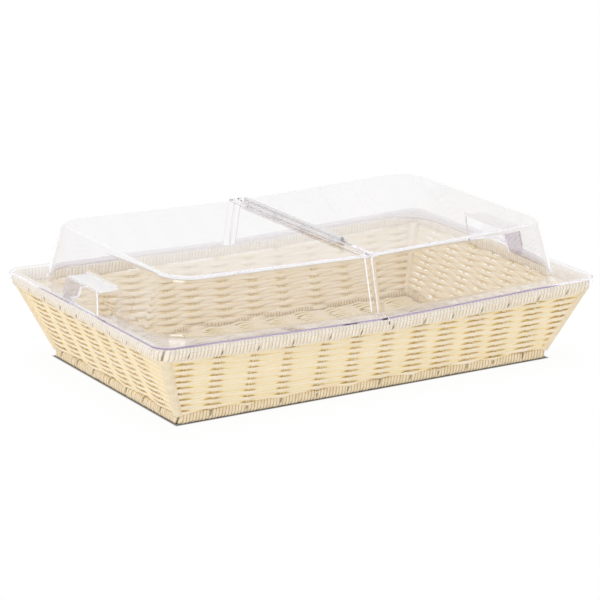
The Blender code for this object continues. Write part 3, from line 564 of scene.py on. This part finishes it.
def post_point(z):
    """Corner post's axis in the +X +Y quarter: the straight line between the two rings' corners."""
    foot_in = BASE_DEPTH / 2
    head_in = RIM_DEPTH / 2
    foot = ring_corner(BASE_HALF_X - foot_in, BASE_HALF_Y - foot_in, BASE_RADIUS - foot_in)
    head = ring_corner(RIM_HALF_X - head_in, RIM_HALF_Y - head_in, RIM_RADIUS - head_in)
    foot_z = BASE_TOP / 2
    head_z = (RIM_TOP + RIM_BOTTOM) / 2
    share = (np.asarray(z) - foot_z) / (head_z - foot_z)
    return foot + (head - foot) * share[..., None]


def post_radius(z):
    """Corner post's radius at a height: it widens evenly from the base band to the rim."""
    return POST_FOOT_RADIUS + POST_WIDENING * (z - BASE_TOP) / (RIM_BOTTOM - BASE_TOP)


def weave_offset(along, row, columns, reach, lean):
    """How far each strand's middle stands out of the wall's middle, and how it rises along a float.

    The strand is out at a stake and in at the next. Near a stake it follows half a cosine wave
    whose half width is reach, and between stakes a slight ramp through zero. lean moves the stakes
    along the wall. Returns the offset, the bare wave, and the signed distance from the stake.
    """
    steps = np.arange(len(columns))
    phase = np.interp(along - lean, columns, steps)
    nearest = np.clip(np.rint(phase).astype(int), 0, len(columns) - 1)
    gap = along - lean - columns[nearest]
    half_width = np.take_along_axis(reach, nearest, axis=-1)
    wave = 0.5 + 0.5 * np.cos(np.pi * np.minimum(1, np.abs(gap) / half_width))
    slope = np.maximum(0, 1 - 2 * np.abs(phase - nearest))
    shape = (1 - RAMP_SHARE) * wave + RAMP_SHARE * slope
    turn = np.where((nearest + row) % 2, -1.0, 1.0)
    return SWING * turn * shape, shape, gap * turn


def woven_panel(
        name, node, material, columns, gaps, rows, strand, lean, float_slope, place, half_span, seed,
        gap_shade=(1, 0.65), bay_samples=16, sides=12):
    """A woven panel: one flat oval tube a row, swung over and under pairs of stakes.

    Each tube's middle follows weave_offset outwards and a slow double sine wave up and down, and
    its section is an ellipse squared a little, taller where it passes a stake.
    place(along, share, out, lift) puts points in space from the distance along the row, the share
    of the way up, the distance outwards and the rise. half_span(share) is half the row's length.
    gap_shade is how strongly the painted gold shade of the gaps shows on the outer and the inner face.
    bay_samples and sides set how finely a strand is drawn along a bay and round itself.
    """
    rng = np.random.default_rng(seed)
    row = np.arange(rows)[:, None]
    share = (row + 0.5) / rows
    span = half_span(share)
    shift = lean * (0.5 - share)
    samples = (len(columns) + 1) * bay_samples + 1
    steps = np.linspace(-1, 1, samples)[None, :]
    along = span * steps

    # Floats at the stakes: longer towards the foot, and each a little longer or shorter
    spread = 1 + 0.8 * (1 - share) ** 3
    wobble = rng.normal(1, 0.10, (rows, len(columns)))
    reach = np.minimum(STAKE_PITCH / 2, gaps[None, :] * GAP_SHARE * spread * wobble)
    offset, shape, gap = weave_offset(along, row, columns, reach, shift)

    # Each strand swings a little less or more, and drifts up and down
    strength = rng.normal(1, 0.06, (rows, 1))
    offset = offset * np.clip(strength, 0.85, 1.0)
    drift_phase = rng.uniform(0, 2 * np.pi, (rows, 2))
    short_wave = np.sin(along / DRIFT_WAVES[0] + drift_phase[:, :1])
    long_wave = np.sin(along / DRIFT_WAVES[1] + drift_phase[:, 1:])
    drift = STRAND_DRIFT * (short_wave + long_wave)
    drift = drift + float_slope * gap * hump(gap, 0.3 * STAKE_PITCH)

    # The section carried along the strand
    half_height = (strand[0] + strand[1] * shape) / 2
    angle = 2 * np.pi * np.arange(sides) / sides
    across = rounded(np.cos(angle), 0.8)
    upward = rounded(np.sin(angle), 0.9)
    out = offset[..., None] + STRAND_THICKNESS / 2 * across
    lift = drift[..., None] + half_height[..., None] * upward
    panel_along = np.repeat(along[..., None], sides, axis=-1)
    panel_share = np.repeat(np.repeat(share[..., None], samples, axis=1), sides, axis=-1)
    points = place(panel_along, panel_share, out, lift)

    # Painted shade: 0 on a crest that stands out of the panel, up to 1 where a strand dives behind
    # others, and a little on each strand's upper and lower faces, where the rows meet
    limit = SWING + STRAND_THICKNESS / 2
    facing = np.where(across >= 0, 1.0, -1.0)
    painted_recess_shade = np.clip(1 - facing * out / limit, 0, 1.6) / 1.6 + 0.25 * np.abs(upward) ** 4
    painted_recess_shade = painted_recess_shade * np.where(across >= 0, *gap_shade)

    # Tone: one a strand, with a slow wave along it
    tone = np.repeat(rng.uniform(0, 1, (rows, 1)), samples, axis=1)
    tone = 0.6 * tone + 0.4 * (0.5 + 0.5 * np.sin(along / TONE_WAVE + drift_phase[:, :1] * 3))
    tone = np.repeat(tone[..., None], sides, axis=-1)
    round_share = np.broadcast_to(np.arange(sides) / sides, painted_recess_shade.shape)
    uv = np.stack([panel_along + row[..., None] * 0.7, round_share], axis=-1)

    stakes = stake_parts(columns, rows, lean, place, half_span, rng)
    strand_count = rows * samples * sides
    polygons = [
        tube_quads(rows, samples, sides),
        tube_caps(rows, samples, sides),
        tube_quads(stakes["tubes"], stakes["rings"], stakes["sides"]) + strand_count,
        tube_caps(stakes["tubes"], stakes["rings"], stakes["sides"]) + strand_count,
    ]
    attributes = {
        "painted_recess_shade": np.concatenate([np.clip(painted_recess_shade, 0, 1).ravel(), stakes["painted_recess_shade"]]),
        "tone": np.concatenate([tone.ravel(), stakes["tone"]]),
    }
    all_points = np.concatenate([points.reshape(-1, 3), stakes["points"]])
    all_uv = np.concatenate([uv.reshape(-1, 2), stakes["uv"]])
    piece = add_piece(name, all_points, polygons, "basket", material, attributes, all_uv)
    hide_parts(node)


def stake_parts(columns, rows, lean, place, half_span, rng):
    """Pairs of thin oval stakes from the bottom to the top of a panel, as points and attributes.

    A stake that the flared panel's foot doesn't reach starts where the panel is wide enough, and
    one over 1 cm past the reach of its middle is left out.
    """
    rings = rows + 1
    share = np.linspace(0, 1, rings)[None, :, None]
    pair = [-STAKE_SPACING / 2, STAKE_SPACING / 2]
    middle = np.repeat(columns, 2) + np.tile(pair, len(columns))
    angle = 2 * np.pi * np.arange(STAKE_SIDES) / STAKE_SIDES
    foot, head = half_span(np.array([0.0, 1.0]))
    kept = np.abs(middle) < (foot + head) / 2 + 0.01
    low = np.clip((np.abs(middle) - foot) / max(head - foot, 0.001), 0, 0.95)
    share = low[:, None, None] + (1 - low[:, None, None]) * share
    along = middle[:, None, None] + STAKE_WIDTH / 2 * np.cos(angle) + lean * (0.5 - share)
    out = STAKE_THICKNESS / 2 * np.sin(angle) + 0 * along
    share = share + 0 * along
    points = place(along[kept], share[kept], out[kept], 0 * out[kept])
    tubes = int(kept.sum())
    count = tubes * rings * STAKE_SIDES
    uv = np.stack([
        np.broadcast_to(share[kept], points.shape[:-1]) * 0.08,
        np.broadcast_to(angle / (2 * np.pi), points.shape[:-1]),
    ], axis=-1)
    return {
        "tubes": tubes, "rings": rings, "sides": STAKE_SIDES, "points": points.reshape(-1, 3),
        # Stakes take a middling painted shade, lying between the strands
        "painted_recess_shade": np.full(count, 0.5),
        "tone": np.repeat(rng.uniform(0, 1, tubes), rings * STAKE_SIDES),
        "uv": uv.reshape(-1, 2),
    }


def wall_place(axis, sign):
    """Puts wall points in space: axis 0 is an end wall and 1 a long wall, sign the side it is on.

    The long walls' rows sag with the rim, and the lowest ones sink into the base band.
    """
    slope = (wall_half(RIM_BOTTOM, axis) - wall_half(BASE_TOP, axis)) / (RIM_BOTTOM - BASE_TOP)
    scale = math.hypot(1, slope)

    def place(along, share, out, lift):
        z = BASE_TOP + (RIM_BOTTOM - BASE_TOP) * share + lift / scale
        if axis == 1:
            z = z - rim_drop(along)
        outward = wall_half(z, axis) - (WALL_MIDDLE - out) * scale
        if axis == 1:
            return np.stack([along * -sign, outward * sign, z], axis=-1)
        return np.stack([outward * sign, along * sign, z], axis=-1)

    def half_span(share):
        z = BASE_TOP + (RIM_BOTTOM - BASE_TOP) * share
        return post_point(z)[..., 1 - axis] - 0.3 * post_radius(z)

    return place, half_span


def build_walls(material):
    """The four woven walls, each seen alike from outside. The rear is the front turned half round."""
    long_columns = np.array(FRONT_STAKES)
    long_wall = (np.array(FRONT_GAPS), LONG_ROWS, LONG_STRAND, STAKE_LEAN, -FLOAT_SLOPE)
    end_columns = np.array(END_STAKES)
    end_wall = (np.full(len(end_columns), END_GAP), END_ROWS, END_STRAND, 0, 0)
    for name, axis, sign, columns, weave, seed in (
        ("front", 1, -1, long_columns, long_wall, 11),
        ("rear", 1, 1, long_columns, long_wall, 12),
        ("left", 0, -1, end_columns, end_wall, 13),
        ("right", 0, 1, end_columns[::-1] * -1, end_wall, 14),
    ):
        place, half_span = wall_place(axis, sign)
        woven_panel(
            name + "_wall_strands", name + "_wall_weave", material,
            columns, *weave, place, half_span, seed)


def build_floor(material):
    """The woven floor inside the base band: strands along X over pairs of stakes along Y.

    The strands end just short of the clearance to the band, and are 2 % lower than their size says.
    """
    half_x = BASE_HALF_X - BASE_DEPTH - FLOOR_CLEARANCE
    half_y = BASE_HALF_Y - BASE_DEPTH - FLOOR_CLEARANCE
    columns = (np.arange(FLOOR_STAKES) - FLOOR_STAKES // 2) * STAKE_PITCH

    def place(along, share, out, lift):
        y = half_y * (2 * share - 1) + lift * 0.98
        y = np.clip(y, -half_y, half_y)
        return np.stack([along, y, FLOOR_TOP - WALL_MIDDLE + out], axis=-1)

    def half_span(share):
        return half_x - 0.0002 + 0 * share

    # The floor's upper face takes less of the gaps' painted shade than its underside
    woven_panel(
        "floor_strands", "floor_weave", material,
        columns, np.full(FLOOR_STAKES, FLOOR_GAP), FLOOR_ROWS, FLOOR_STRAND, 0, 0,
        place, half_span, 15, gap_shade=(0.4, 1), bay_samples=12, sides=8)


def ring_path(half_x, half_y, radius, pitch, samples):
    """Points and outward directions round a rounded rectangle, anticlockwise from the front's left.

    The ring holds a whole number of turns of cord, with the same samples in each turn.
    """
    straight_x = 2 * (half_x - radius)
    straight_y = 2 * (half_y - radius)
    arc = math.pi / 2 * radius
    lengths = np.array([straight_x, arc, straight_y, arc] * 2)
    total = lengths.sum()
    turns = round(total / pitch)
    phase = (np.arange(samples) + 0.5) / samples
    s = ((np.arange(turns)[:, None] + phase[None, :]) * total / turns).ravel()
    ends = np.cumsum(lengths)
    starts = ends - lengths
    leg = np.minimum(np.searchsorted(ends, s, side="right"), 7)
    local = s - starts[leg]
    quarter = leg // 2
    heading = quarter * math.pi / 2
    corner_x = np.array([-1, 1, 1, -1])[quarter] * (half_x - radius)
    corner_y = np.array([-1, -1, 1, 1])[quarter] * (half_y - radius)
    along_x = np.cos(heading)
    along_y = np.sin(heading)
    straight = leg % 2 == 0
    angle = np.where(straight, heading - math.pi / 2, heading - math.pi / 2 + local / radius)
    next_x = np.array([1, 1, -1, -1])[quarter] * (half_x - radius)
    next_y = np.array([-1, 1, 1, -1])[quarter] * (half_y - radius)
    x = np.where(straight, corner_x + along_x * local, next_x) + radius * np.cos(angle)
    y = np.where(straight, corner_y + along_y * local, next_y) + radius * np.sin(angle)
    return s, total, turns, x, y, np.cos(angle), np.sin(angle)


def wound_ring(name, nodes, material, half_x, half_y, radius, depth, low, high, pitch, drop, knots, seed):
    """A ring of wound cord: an oblong section carried round a rounded rectangle.

    Its surface rises and falls by the round profile of each turn. The turns climb the section as a
    screw of several starts, and short slanting pits mark where the stakes' ends are tucked in, at
    the stakes and at the middle of each corner.
    """
    rng = np.random.default_rng(seed)
    s, total, turns, x, y, out_x, out_y = ring_path(
        half_x - depth / 2, half_y - depth / 2, radius - depth / 2, pitch, TURN_SAMPLES)
    angle = 2 * np.pi * np.arange(WINDING_SIDES) / WINDING_SIDES
    across = rounded(np.cos(angle), 0.7)[None, :]
    upward = rounded(np.sin(angle), 0.7)[None, :]
    outer_face = np.clip(across, 0, 1) ** 0.5
    round_share = np.arange(WINDING_SIDES) / WINDING_SIDES
    turn = s[:, None] / total * turns - WINDING_STARTS * round_share[None, :]
    local = turn - np.floor(turn)

    # A turn's profile is a half circle that stops short of its upright ends
    profile = np.sqrt(np.maximum(0, 1 - (2 * local - 1) ** 2 * 0.97))
    index = np.floor(turn).astype(int) % turns
    swell = rng.normal(0, CORD_SWELL, turns)[index]
    tone = rng.uniform(0, 1, turns)[index]

    # Pits: a slanting tail and a cross stroke at each knot, and one slanting mark at each corner
    pit = np.zeros_like(profile)
    for place, side, axis in knots:
        run, facing, outward = (x, y, out_y) if axis == 1 else (y, x, out_x)
        on_side = (facing * side > 0) & (outward * side > 0.9)
        lean = (run[:, None] - place) * (-side if axis == 1 else side) - KNOT_SLANT * upward
        tail = hump(lean, TAIL_WIDTH) * np.exp(-((upward - KNOT_LEVEL[name]) / 0.6) ** 4)
        cross = hump(lean + CROSS_SHIFT, CROSS_WIDTH) * hump(upward - 0.85, 0.25)
        mark = np.maximum(tail, cross * KNOT_CROSS[name]) * outer_face
        pit = np.maximum(pit, np.where(on_side[:, None], mark, 0))
    for side_x, side_y in CORNERS.values():
        beyond = (np.arctan2(out_y * side_y, out_x * side_x) - math.pi / 4) * radius
        mark = hump(beyond[:, None] - CORNER_SLANT * upward, CORNER_WIDTH) * outer_face
        at_corner = (out_x * side_x > 0.05) & (out_y * side_y > 0.05)
        pit = np.maximum(pit, np.where(at_corner[:, None], mark, 0))

    # The surface: the solid's section less the relief, at most 0.3 mm wider than it and never taller
    relief = CORD_RELIEF * (profile - 1) + swell * profile - PIT_DEPTH * pit
    half_height = (high - low) / 2
    radial = np.minimum(depth / 2 + relief, depth / 2 + 0.0003) * across
    rise = np.minimum(half_height + relief, half_height) * upward
    points = np.stack([
        x[:, None] + out_x[:, None] * radial,
        y[:, None] + out_y[:, None] * radial,
        (low + high) / 2 + rise - drop(x)[:, None],
    ], axis=-1)
    # Painted shade: the grooves between turns take the pit colour, and the knots' pits dark brown
    attributes = {
        "painted_recess_shade": np.clip(1.5 * (1 - profile), 0, 1),
        "tone": tone,
        "knot": np.clip(1.3 * pit - 0.2, 0, 0.9),
    }
    uv = np.stack([np.broadcast_to(round_share * 0.05, relief.shape), local], axis=-1)
    quads = tube_quads(1, len(s), WINDING_SIDES, closed=True)
    piece = add_piece(name, points.reshape(-1, 3), [quads], "basket", material, attributes, uv)
    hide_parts(*nodes)


def knot_places(shift):
    """(place, side, axis) of every knot: the walls' stakes, the long walls' moved by a shift."""
    long_knots = [(-side * (place + shift), side, 1) for side in (-1, 1) for place in FRONT_STAKES]
    end_knots = [(-place, side, 0) for side in (-1, 1) for place in END_STAKES]
    return long_knots + end_knots


def build_windings(rim_cord, base_cord):
    """The wound rim and base band, with knots at the leaning stakes' heads and feet."""
    wound_ring(
        "rim_winding", ["rim_wrap_" + zone for zone in WRAP_ZONES], rim_cord,
        RIM_HALF_X, RIM_HALF_Y, RIM_RADIUS, RIM_DEPTH, RIM_BOTTOM, RIM_TOP, RIM_TURN,
        rim_drop, knot_places(-STAKE_LEAN / 2), 21)
    wound_ring(
        "base_winding", ["base_wrap_" + zone for zone in WRAP_ZONES], base_cord,
        BASE_HALF_X, BASE_HALF_Y, BASE_RADIUS, BASE_DEPTH, 0.0, BASE_TOP, BASE_TURN,
        np.zeros_like, knot_places(STAKE_LEAN / 2 - BASE_KNOT_SHIFT), 22)


def build_corner_bands(material):
    """Smooth bands up the corners: a leaning, widening tube with nine soft flutes round it.

    Its radius also swells and shrinks a little with each turn of the band, as a sine of the height.
    """
    sides, rings = 36, 40
    share = np.linspace(0, 1, rings)
    z = BASE_TOP - 0.002 + (RIM_BOTTOM - BASE_TOP + 0.004) * share
    angle = 2 * np.pi * np.arange(sides) / sides
    turns = 0.012 * np.sin(z[:, None] / POST_TURN * 2 * np.pi)
    flute = 1 + 0.015 * np.cos(9 * angle)[None, :] + turns
    axis = post_point(z)
    radius = post_radius(z)[:, None] * flute
    quads = tube_quads(1, rings, sides)[:, ::-1]
    caps = tube_caps(1, rings, sides)[:, ::-1]
    height = np.broadcast_to(z[:, None], radius.shape)
    around = np.broadcast_to(angle / 2 / np.pi, radius.shape)
    for corner, (sign_x, sign_y) in CORNERS.items():
        x = sign_x * axis[:, :1] + radius * np.cos(angle)
        y = sign_y * axis[:, 1:] + radius * np.sin(angle)
        piece = add_piece(
            "corner_post_" + corner, np.stack([x, y, height], axis=-1).reshape(-1, 3),
            [quads, caps], "basket", material,
            {"painted_recess_shade": np.full(x.size, 0.08), "tone": np.full(x.size, 0.6)},
            np.stack([height, around], axis=-1))
        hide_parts("corner_band_" + corner)


def cover_rows(depth):
    """Rows of the cover's profile, depth under its outer face, from the lip's edge to the top's middle.

    Gives inset from the flange's edge, height over the flange's top, zone, and the share of the way
    across a handle's front, edge or top, which the handle's columns use. Each is a column of rows.
    Straight lines are joined by arcs. Depth shortens the arcs' radius at the lip and the top, and
    lengthens it at the wall's foot.
    """
    sine, cosine, slope = math.sin(DRAFT_ANGLE), math.cos(DRAFT_ANGLE), math.tan(DRAFT_ANGLE)
    lip_turn = np.linspace(0, math.pi / 2, 7)
    lip_reach = LIP_ROUNDING - depth
    flange_inset = [0.0062, 0.0095, 0.013, 0.0165, 0.0195]
    foot_turn = np.linspace(-math.pi / 2, -DRAFT_ANGLE, 5)
    foot_reach = FOOT_RADIUS + depth
    foot_inset = FLANGE_WIDTH + FOOT_RADIUS * slope - FOOT_RADIUS / cosine
    handle_z = np.array([0.006, 0.011, 0.016, 0.021, 0.0245, HANDLE_HEIGHT])
    wall_z = np.array([0.034, 0.044, 0.053])
    wall_inset = FLANGE_WIDTH + depth / cosine
    brow_turn = np.linspace(DRAFT_ANGLE, math.pi / 2, 10)
    brow_reach = DOME_FILLET - depth
    brow_inset = FLANGE_WIDTH + (DOME_FILLET + (DOME_HEIGHT - DOME_FILLET) * sine) / cosine
    brow_z = DOME_HEIGHT - DOME_FILLET
    plate = np.array([0.0008, 0.012, 0.03, 0.05, 0.08, 0.11, COVER_HALF_Y - brow_inset])
    parts = (
        # Lip: its edge, its rounding, and the flange's start
        ([depth], [-LIP_DEPTH], LIP, [0]),
        (LIP_ROUNDING - lip_reach * np.cos(lip_turn), -LIP_ROUNDING + lip_reach * np.sin(lip_turn),
         LIP, 0 * lip_turn),
        ([LIP_ROUNDING + 0.0004], [-depth], LIP, [0]),
        # Flange, and the fillet at the wall's foot
        (flange_inset, np.full(5, -depth), FRONT, np.arange(5) / 4),
        (foot_inset + foot_reach * np.cos(foot_turn), FOOT_RADIUS + foot_reach * np.sin(foot_turn),
         EDGE, np.arange(5) / 4),
        # Wall up to the handle's height, and over it
        (wall_inset + handle_z * slope, handle_z, TOP, np.arange(6) / 5),
        (wall_inset + wall_z * slope, wall_z, WALL, 0 * wall_z),
        # Fillet between the wall and the top, and the top
        (brow_inset - brow_reach * np.cos(brow_turn), brow_z + brow_reach * np.sin(brow_turn),
         WALL, 0 * brow_turn),
        (brow_inset + plate, np.full(7, DOME_HEIGHT - depth), PLATE, 0 * plate),
    )
    inset = np.concatenate([part[0] for part in parts])
    z = np.concatenate([part[1] for part in parts])
    zone = np.concatenate([np.full(len(part[0]), part[2]) for part in parts])
    share = np.concatenate([part[3] for part in parts])
    return inset[:, None], z[:, None], zone[:, None], share[:, None]


def cover_columns():
    """Columns of one half, from the seam's front to the handle's middle: kind and place of each.

    The place is the distance from the seam, the share of the straight run or of the corner arc, the
    distance from the handle's middle, or the angle round the handle's edge.
    """
    parts = (
        (SEAM, [SEAM_HALF_GAP, SEAM_HALF_GAP + RIB_ROUNDING * 0.3, SEAM_HALF_GAP + RIB_ROUNDING,
                SEAM_HALF_GAP + RIB_WIDTH / 2, RIB_END - RIB_ROUNDING, RIB_END - RIB_ROUNDING * 0.3,
                RIB_END, RUN_START]),
        (RUN, [0.05, 0.15, 0.3, 0.5, 0.7, 0.9]),
        (ARC, np.linspace(0, 1, 25)),
        (END, [0.105, 0.085, 0.068, 0.056, 0.0495]),
        (GRIP_FOOT, [HANDLE_HALF_WIDTH]),
        (GRIP_EDGE, np.linspace(math.pi / 2, 0, 6)),
        (GRIP, [0.030, 0.015, 0.0]),
    )
    kind = np.concatenate([np.full(len(places), code) for code, places in parts])
    place = np.concatenate([np.asarray(places) for code, places in parts])
    return kind[None, :], place[None, :]


def corner_radius(inset):
    """Radius in plan at an inset: round the lip, then blending into the dome's larger corners."""
    blend = np.clip((inset - LIP_ROUNDING) / (FLANGE_WIDTH - LIP_ROUNDING), 0, 1)
    flange = (FLANGE_RADIUS - LIP_ROUNDING) * (1 - blend)
    dome = np.maximum(0, DOME_RADIUS - np.maximum(0, inset - FLANGE_WIDTH)) * blend
    return np.where(inset < LIP_ROUNDING + 0.001, FLANGE_RADIUS - inset, flange + dome)


def cover_points(side, depth):
    """Outer (depth 0) or inner surface of one half as a grid of points, and where it is frosted.

    Each row is a U of straight run, corner arc, end, corner arc and straight run round the half.
    Beside the seam the rows rise to the rib. Across the handle, the rows of the flange climb its
    front, those of the fillet round its edge, and those of the wall's foot cross its top.
    """
    inset, z, zone, share = cover_rows(depth)
    kind, place = cover_columns()
    rounding = HANDLE_ROUNDING - depth
    half_x = COVER_HALF_X - inset
    half_y = COVER_HALF_Y - inset
    radius = corner_radius(inset)
    run_end = half_x - radius
    end_half = half_y - radius
    turn = (place - 1) * math.pi / 2

    # The handle's columns: height and inset of their front, edge and top rows
    grip_rows = (zone == FRONT) | (zone == EDGE) | (zone == TOP)
    grip = ((kind == GRIP_EDGE) | (kind == GRIP)) & grip_rows
    zones = [zone == FRONT, zone == EDGE, zone == TOP]
    pull = rounding * np.where(kind == GRIP_EDGE, np.cos(place), 1)
    top = HANDLE_HEIGHT - HANDLE_ROUNDING
    front = LIP_ROUNDING + HANDLE_ROUNDING
    front_top = front + HANDLE_FRONT_DRAFT * top / HANDLE_HEIGHT
    top_start = front_top + 0.0006
    climb = -depth + 0.0004 + (top + depth - 0.0008) * share
    grip_z = np.select(zones, [
        climb + 0 * pull,
        top + pull * np.sin(share * math.pi / 2),
        top + pull + 0 * share,
    ], z + 0 * pull)
    wall_inset = FLANGE_WIDTH + depth / math.cos(DRAFT_ANGLE) + grip_z * DOME_DRAFT / DOME_HEIGHT
    grip_inset = np.select(zones, [
        front + HANDLE_FRONT_DRAFT * grip_z / HANDLE_HEIGHT - pull,
        front_top - pull * np.cos(share * math.pi / 2),
        top_start + (wall_inset - front_top - 0.0006) * share,
    ], inset + 0 * pull)
    height = np.where(grip, grip_z, z + 0 * pull)

    # Across the end, the columns lean in with the handle's sides, less so away from them
    lateral = np.select([kind == GRIP_FOOT, kind == GRIP_EDGE], [
        place - depth,
        HANDLE_HALF_WIDTH - HANDLE_ROUNDING + rounding * np.sin(place),
    ], place)
    lean = HANDLE_SIDE_DRAFT * np.clip(height / HANDLE_HEIGHT, 0, 1)
    fade_out = np.clip((LEAN_REACH - lateral) / (LEAN_REACH - HANDLE_HALF_WIDTH), 0, 1)
    leaning = fade_out * np.minimum(1, lateral / 0.02)
    end_y = -(lateral - lean * leaning) * np.minimum(1, end_half / LEAN_REACH)

    x = np.select([kind == SEAM, kind == RUN, kind == ARC], [
        place + 0 * z,
        RUN_START + (run_end - RUN_START) * place,
        run_end + radius * np.cos(turn),
    ], COVER_HALF_X - np.where(grip, grip_inset, inset))
    y = np.select([(kind == SEAM) | (kind == RUN), kind == ARC], [
        -half_y + 0 * place,
        -end_half + radius * np.sin(turn),
    ], end_y)
    raised = (depth == 0) & (kind == SEAM) & (zone >= EDGE)
    y, height = rib_lift(y, height, np.where(raised, RIB_RISE * rib_profile(place), 0))
    frost = np.where(grip & (zone == TOP) & ((kind == GRIP) | (place < 1.2)), 1.0, 0.0)

    # The half sags in a straight line towards the seam, and its rear mirrors its front
    height = height + FLANGE_TOP - RIM_SAG * (1 - x / SAG_REACH)
    half = np.stack([x * side, y, height], axis=-1)
    mirrored = half * np.array([1, -1, 1])
    grid = np.concatenate([half, mirrored[:, -2::-1]], axis=1)
    return grid, np.concatenate([frost, frost[:, -2::-1]], axis=1)


def rib_profile(x):
    """The rib's height share at a distance from the seam: flat, with eased edges."""
    start = (x - SEAM_HALF_GAP) / RIB_ROUNDING
    end = (RIB_END - x) / RIB_ROUNDING
    fall = np.where(end < 0.35, end * 0.7, 0.3 + 0.7 * end)
    return np.clip(np.minimum(0.7 + 0.3 * start, fall), 0, 1)


def rib_lift(y, z, rise):
    """Moves points square to the wall or the top by rise, eased in over the foot fillet."""
    grow = np.clip(z / 0.003, 0, 1)
    over = (z - (DOME_HEIGHT - DOME_FILLET)) / DOME_FILLET
    turn = np.arcsin(np.clip(over, math.sin(DRAFT_ANGLE), 1))
    return y - rise * grow * np.cos(turn), z + rise * grow * np.sin(turn)


def grid_quads(index):
    """Quads between neighbouring rows and columns of a grid of point numbers."""
    return np.stack([
        index[:-1, :-1], index[:-1, 1:], index[1:, 1:], index[1:, :-1],
    ], axis=-1).reshape(-1, 4)


def build_cover(word, side, material):
    """One half of the cover: outer and inner surfaces joined at the lip's edge and at the seam."""
    outer, frost = cover_points(side, 0.0)
    inner, _ = cover_points(side, SHEET)
    rows, columns = outer.shape[:2]
    index = np.arange(rows * columns).reshape(rows, columns)
    below = index + rows * columns
    lip = np.stack([index[0, :-1], below[0, :-1], below[0, 1:], index[0, 1:]], axis=-1)
    front = np.stack([index[:-1, 0], index[1:, 0], below[1:, 0], below[:-1, 0]], axis=-1)
    rear = np.stack([index[:-1, -1], below[:-1, -1], below[1:, -1], index[1:, -1]], axis=-1)
    faces = np.concatenate([grid_quads(index), grid_quads(below)[:, [0, 3, 2, 1]], lip, front, rear])
    if side < 0:
        faces = faces[:, ::-1]
    points = np.concatenate([outer.reshape(-1, 3), inner.reshape(-1, 3)])
    piece = add_piece(
        word + "_cover_shell", points, [faces], word + "_half", material,
        {"frost": np.concatenate([frost.ravel(), frost.ravel()])})

    # The front's and the rear's rows end together in the top's middle: merge their doubles
    work = bmesh.new()
    work.from_mesh(piece.data)
    bmesh.ops.remove_doubles(work, verts=work.verts, dist=0.00002)
    bmesh.ops.dissolve_degenerate(work, edges=work.edges, dist=0.00001)
    work.to_mesh(piece.data)
    work.free()
    piece.data.shade_smooth()
    piece.data.set_sharp_from_angle(angle=math.radians(50))
    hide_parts(word + "_cover")


def dress(nodes, material):
    """Gives carried-over solids their finish."""
    for name in nodes:
        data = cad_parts[name].data
        data.materials.clear()
        data.materials.append(material)


bpy.context.scene.view_settings.view_transform = "Standard"
add_camera()
white_surround()
floor_stage()
add_lamp("key_lamp", (-2.9, -1.7, 2.3), (0, 0, 0), 2.2, 34)

# Pit colours are painted shade and bounce light: gold for the walls' gaps, darker for the cords' grooves
rattan = strand_finish("matte_poly_rattan", "EDDEC2", "FFE898", "F2E6D3", 0.55)
rim_cord = strand_finish("wound_rim_cord", "EEE2CF", "C2AE8A", "F2E9DA", 0.5)
base_cord = strand_finish("wound_base_cord", "E9D7B4", "B08F58", "EEDFC2", 0.5)
sheet = clear_sheet()
moulding = hinge_plastic()
steel_wire = drawn_steel("drawn_steel_wire", "B9B9BB", 0.35)
stainless = drawn_steel("turned_stainless_steel", "E4E4E7", 0.3)

build_walls(rattan)
build_floor(rattan)
build_windings(rim_cord, base_cord)
build_corner_bands(base_cord)
for word, side in SIDES.items():
    build_cover(word, side, sheet)
dress(["rim_wire", "base_wire", "hinge_pin"] + ["corner_wire_" + corner for corner in CORNERS], steel_wire)
dress([word + "_hinge_leaf" for word in SIDES], moulding)
dress([word + "_hinge_rivet_" + number for word in SIDES for number in "1234"], stainless)
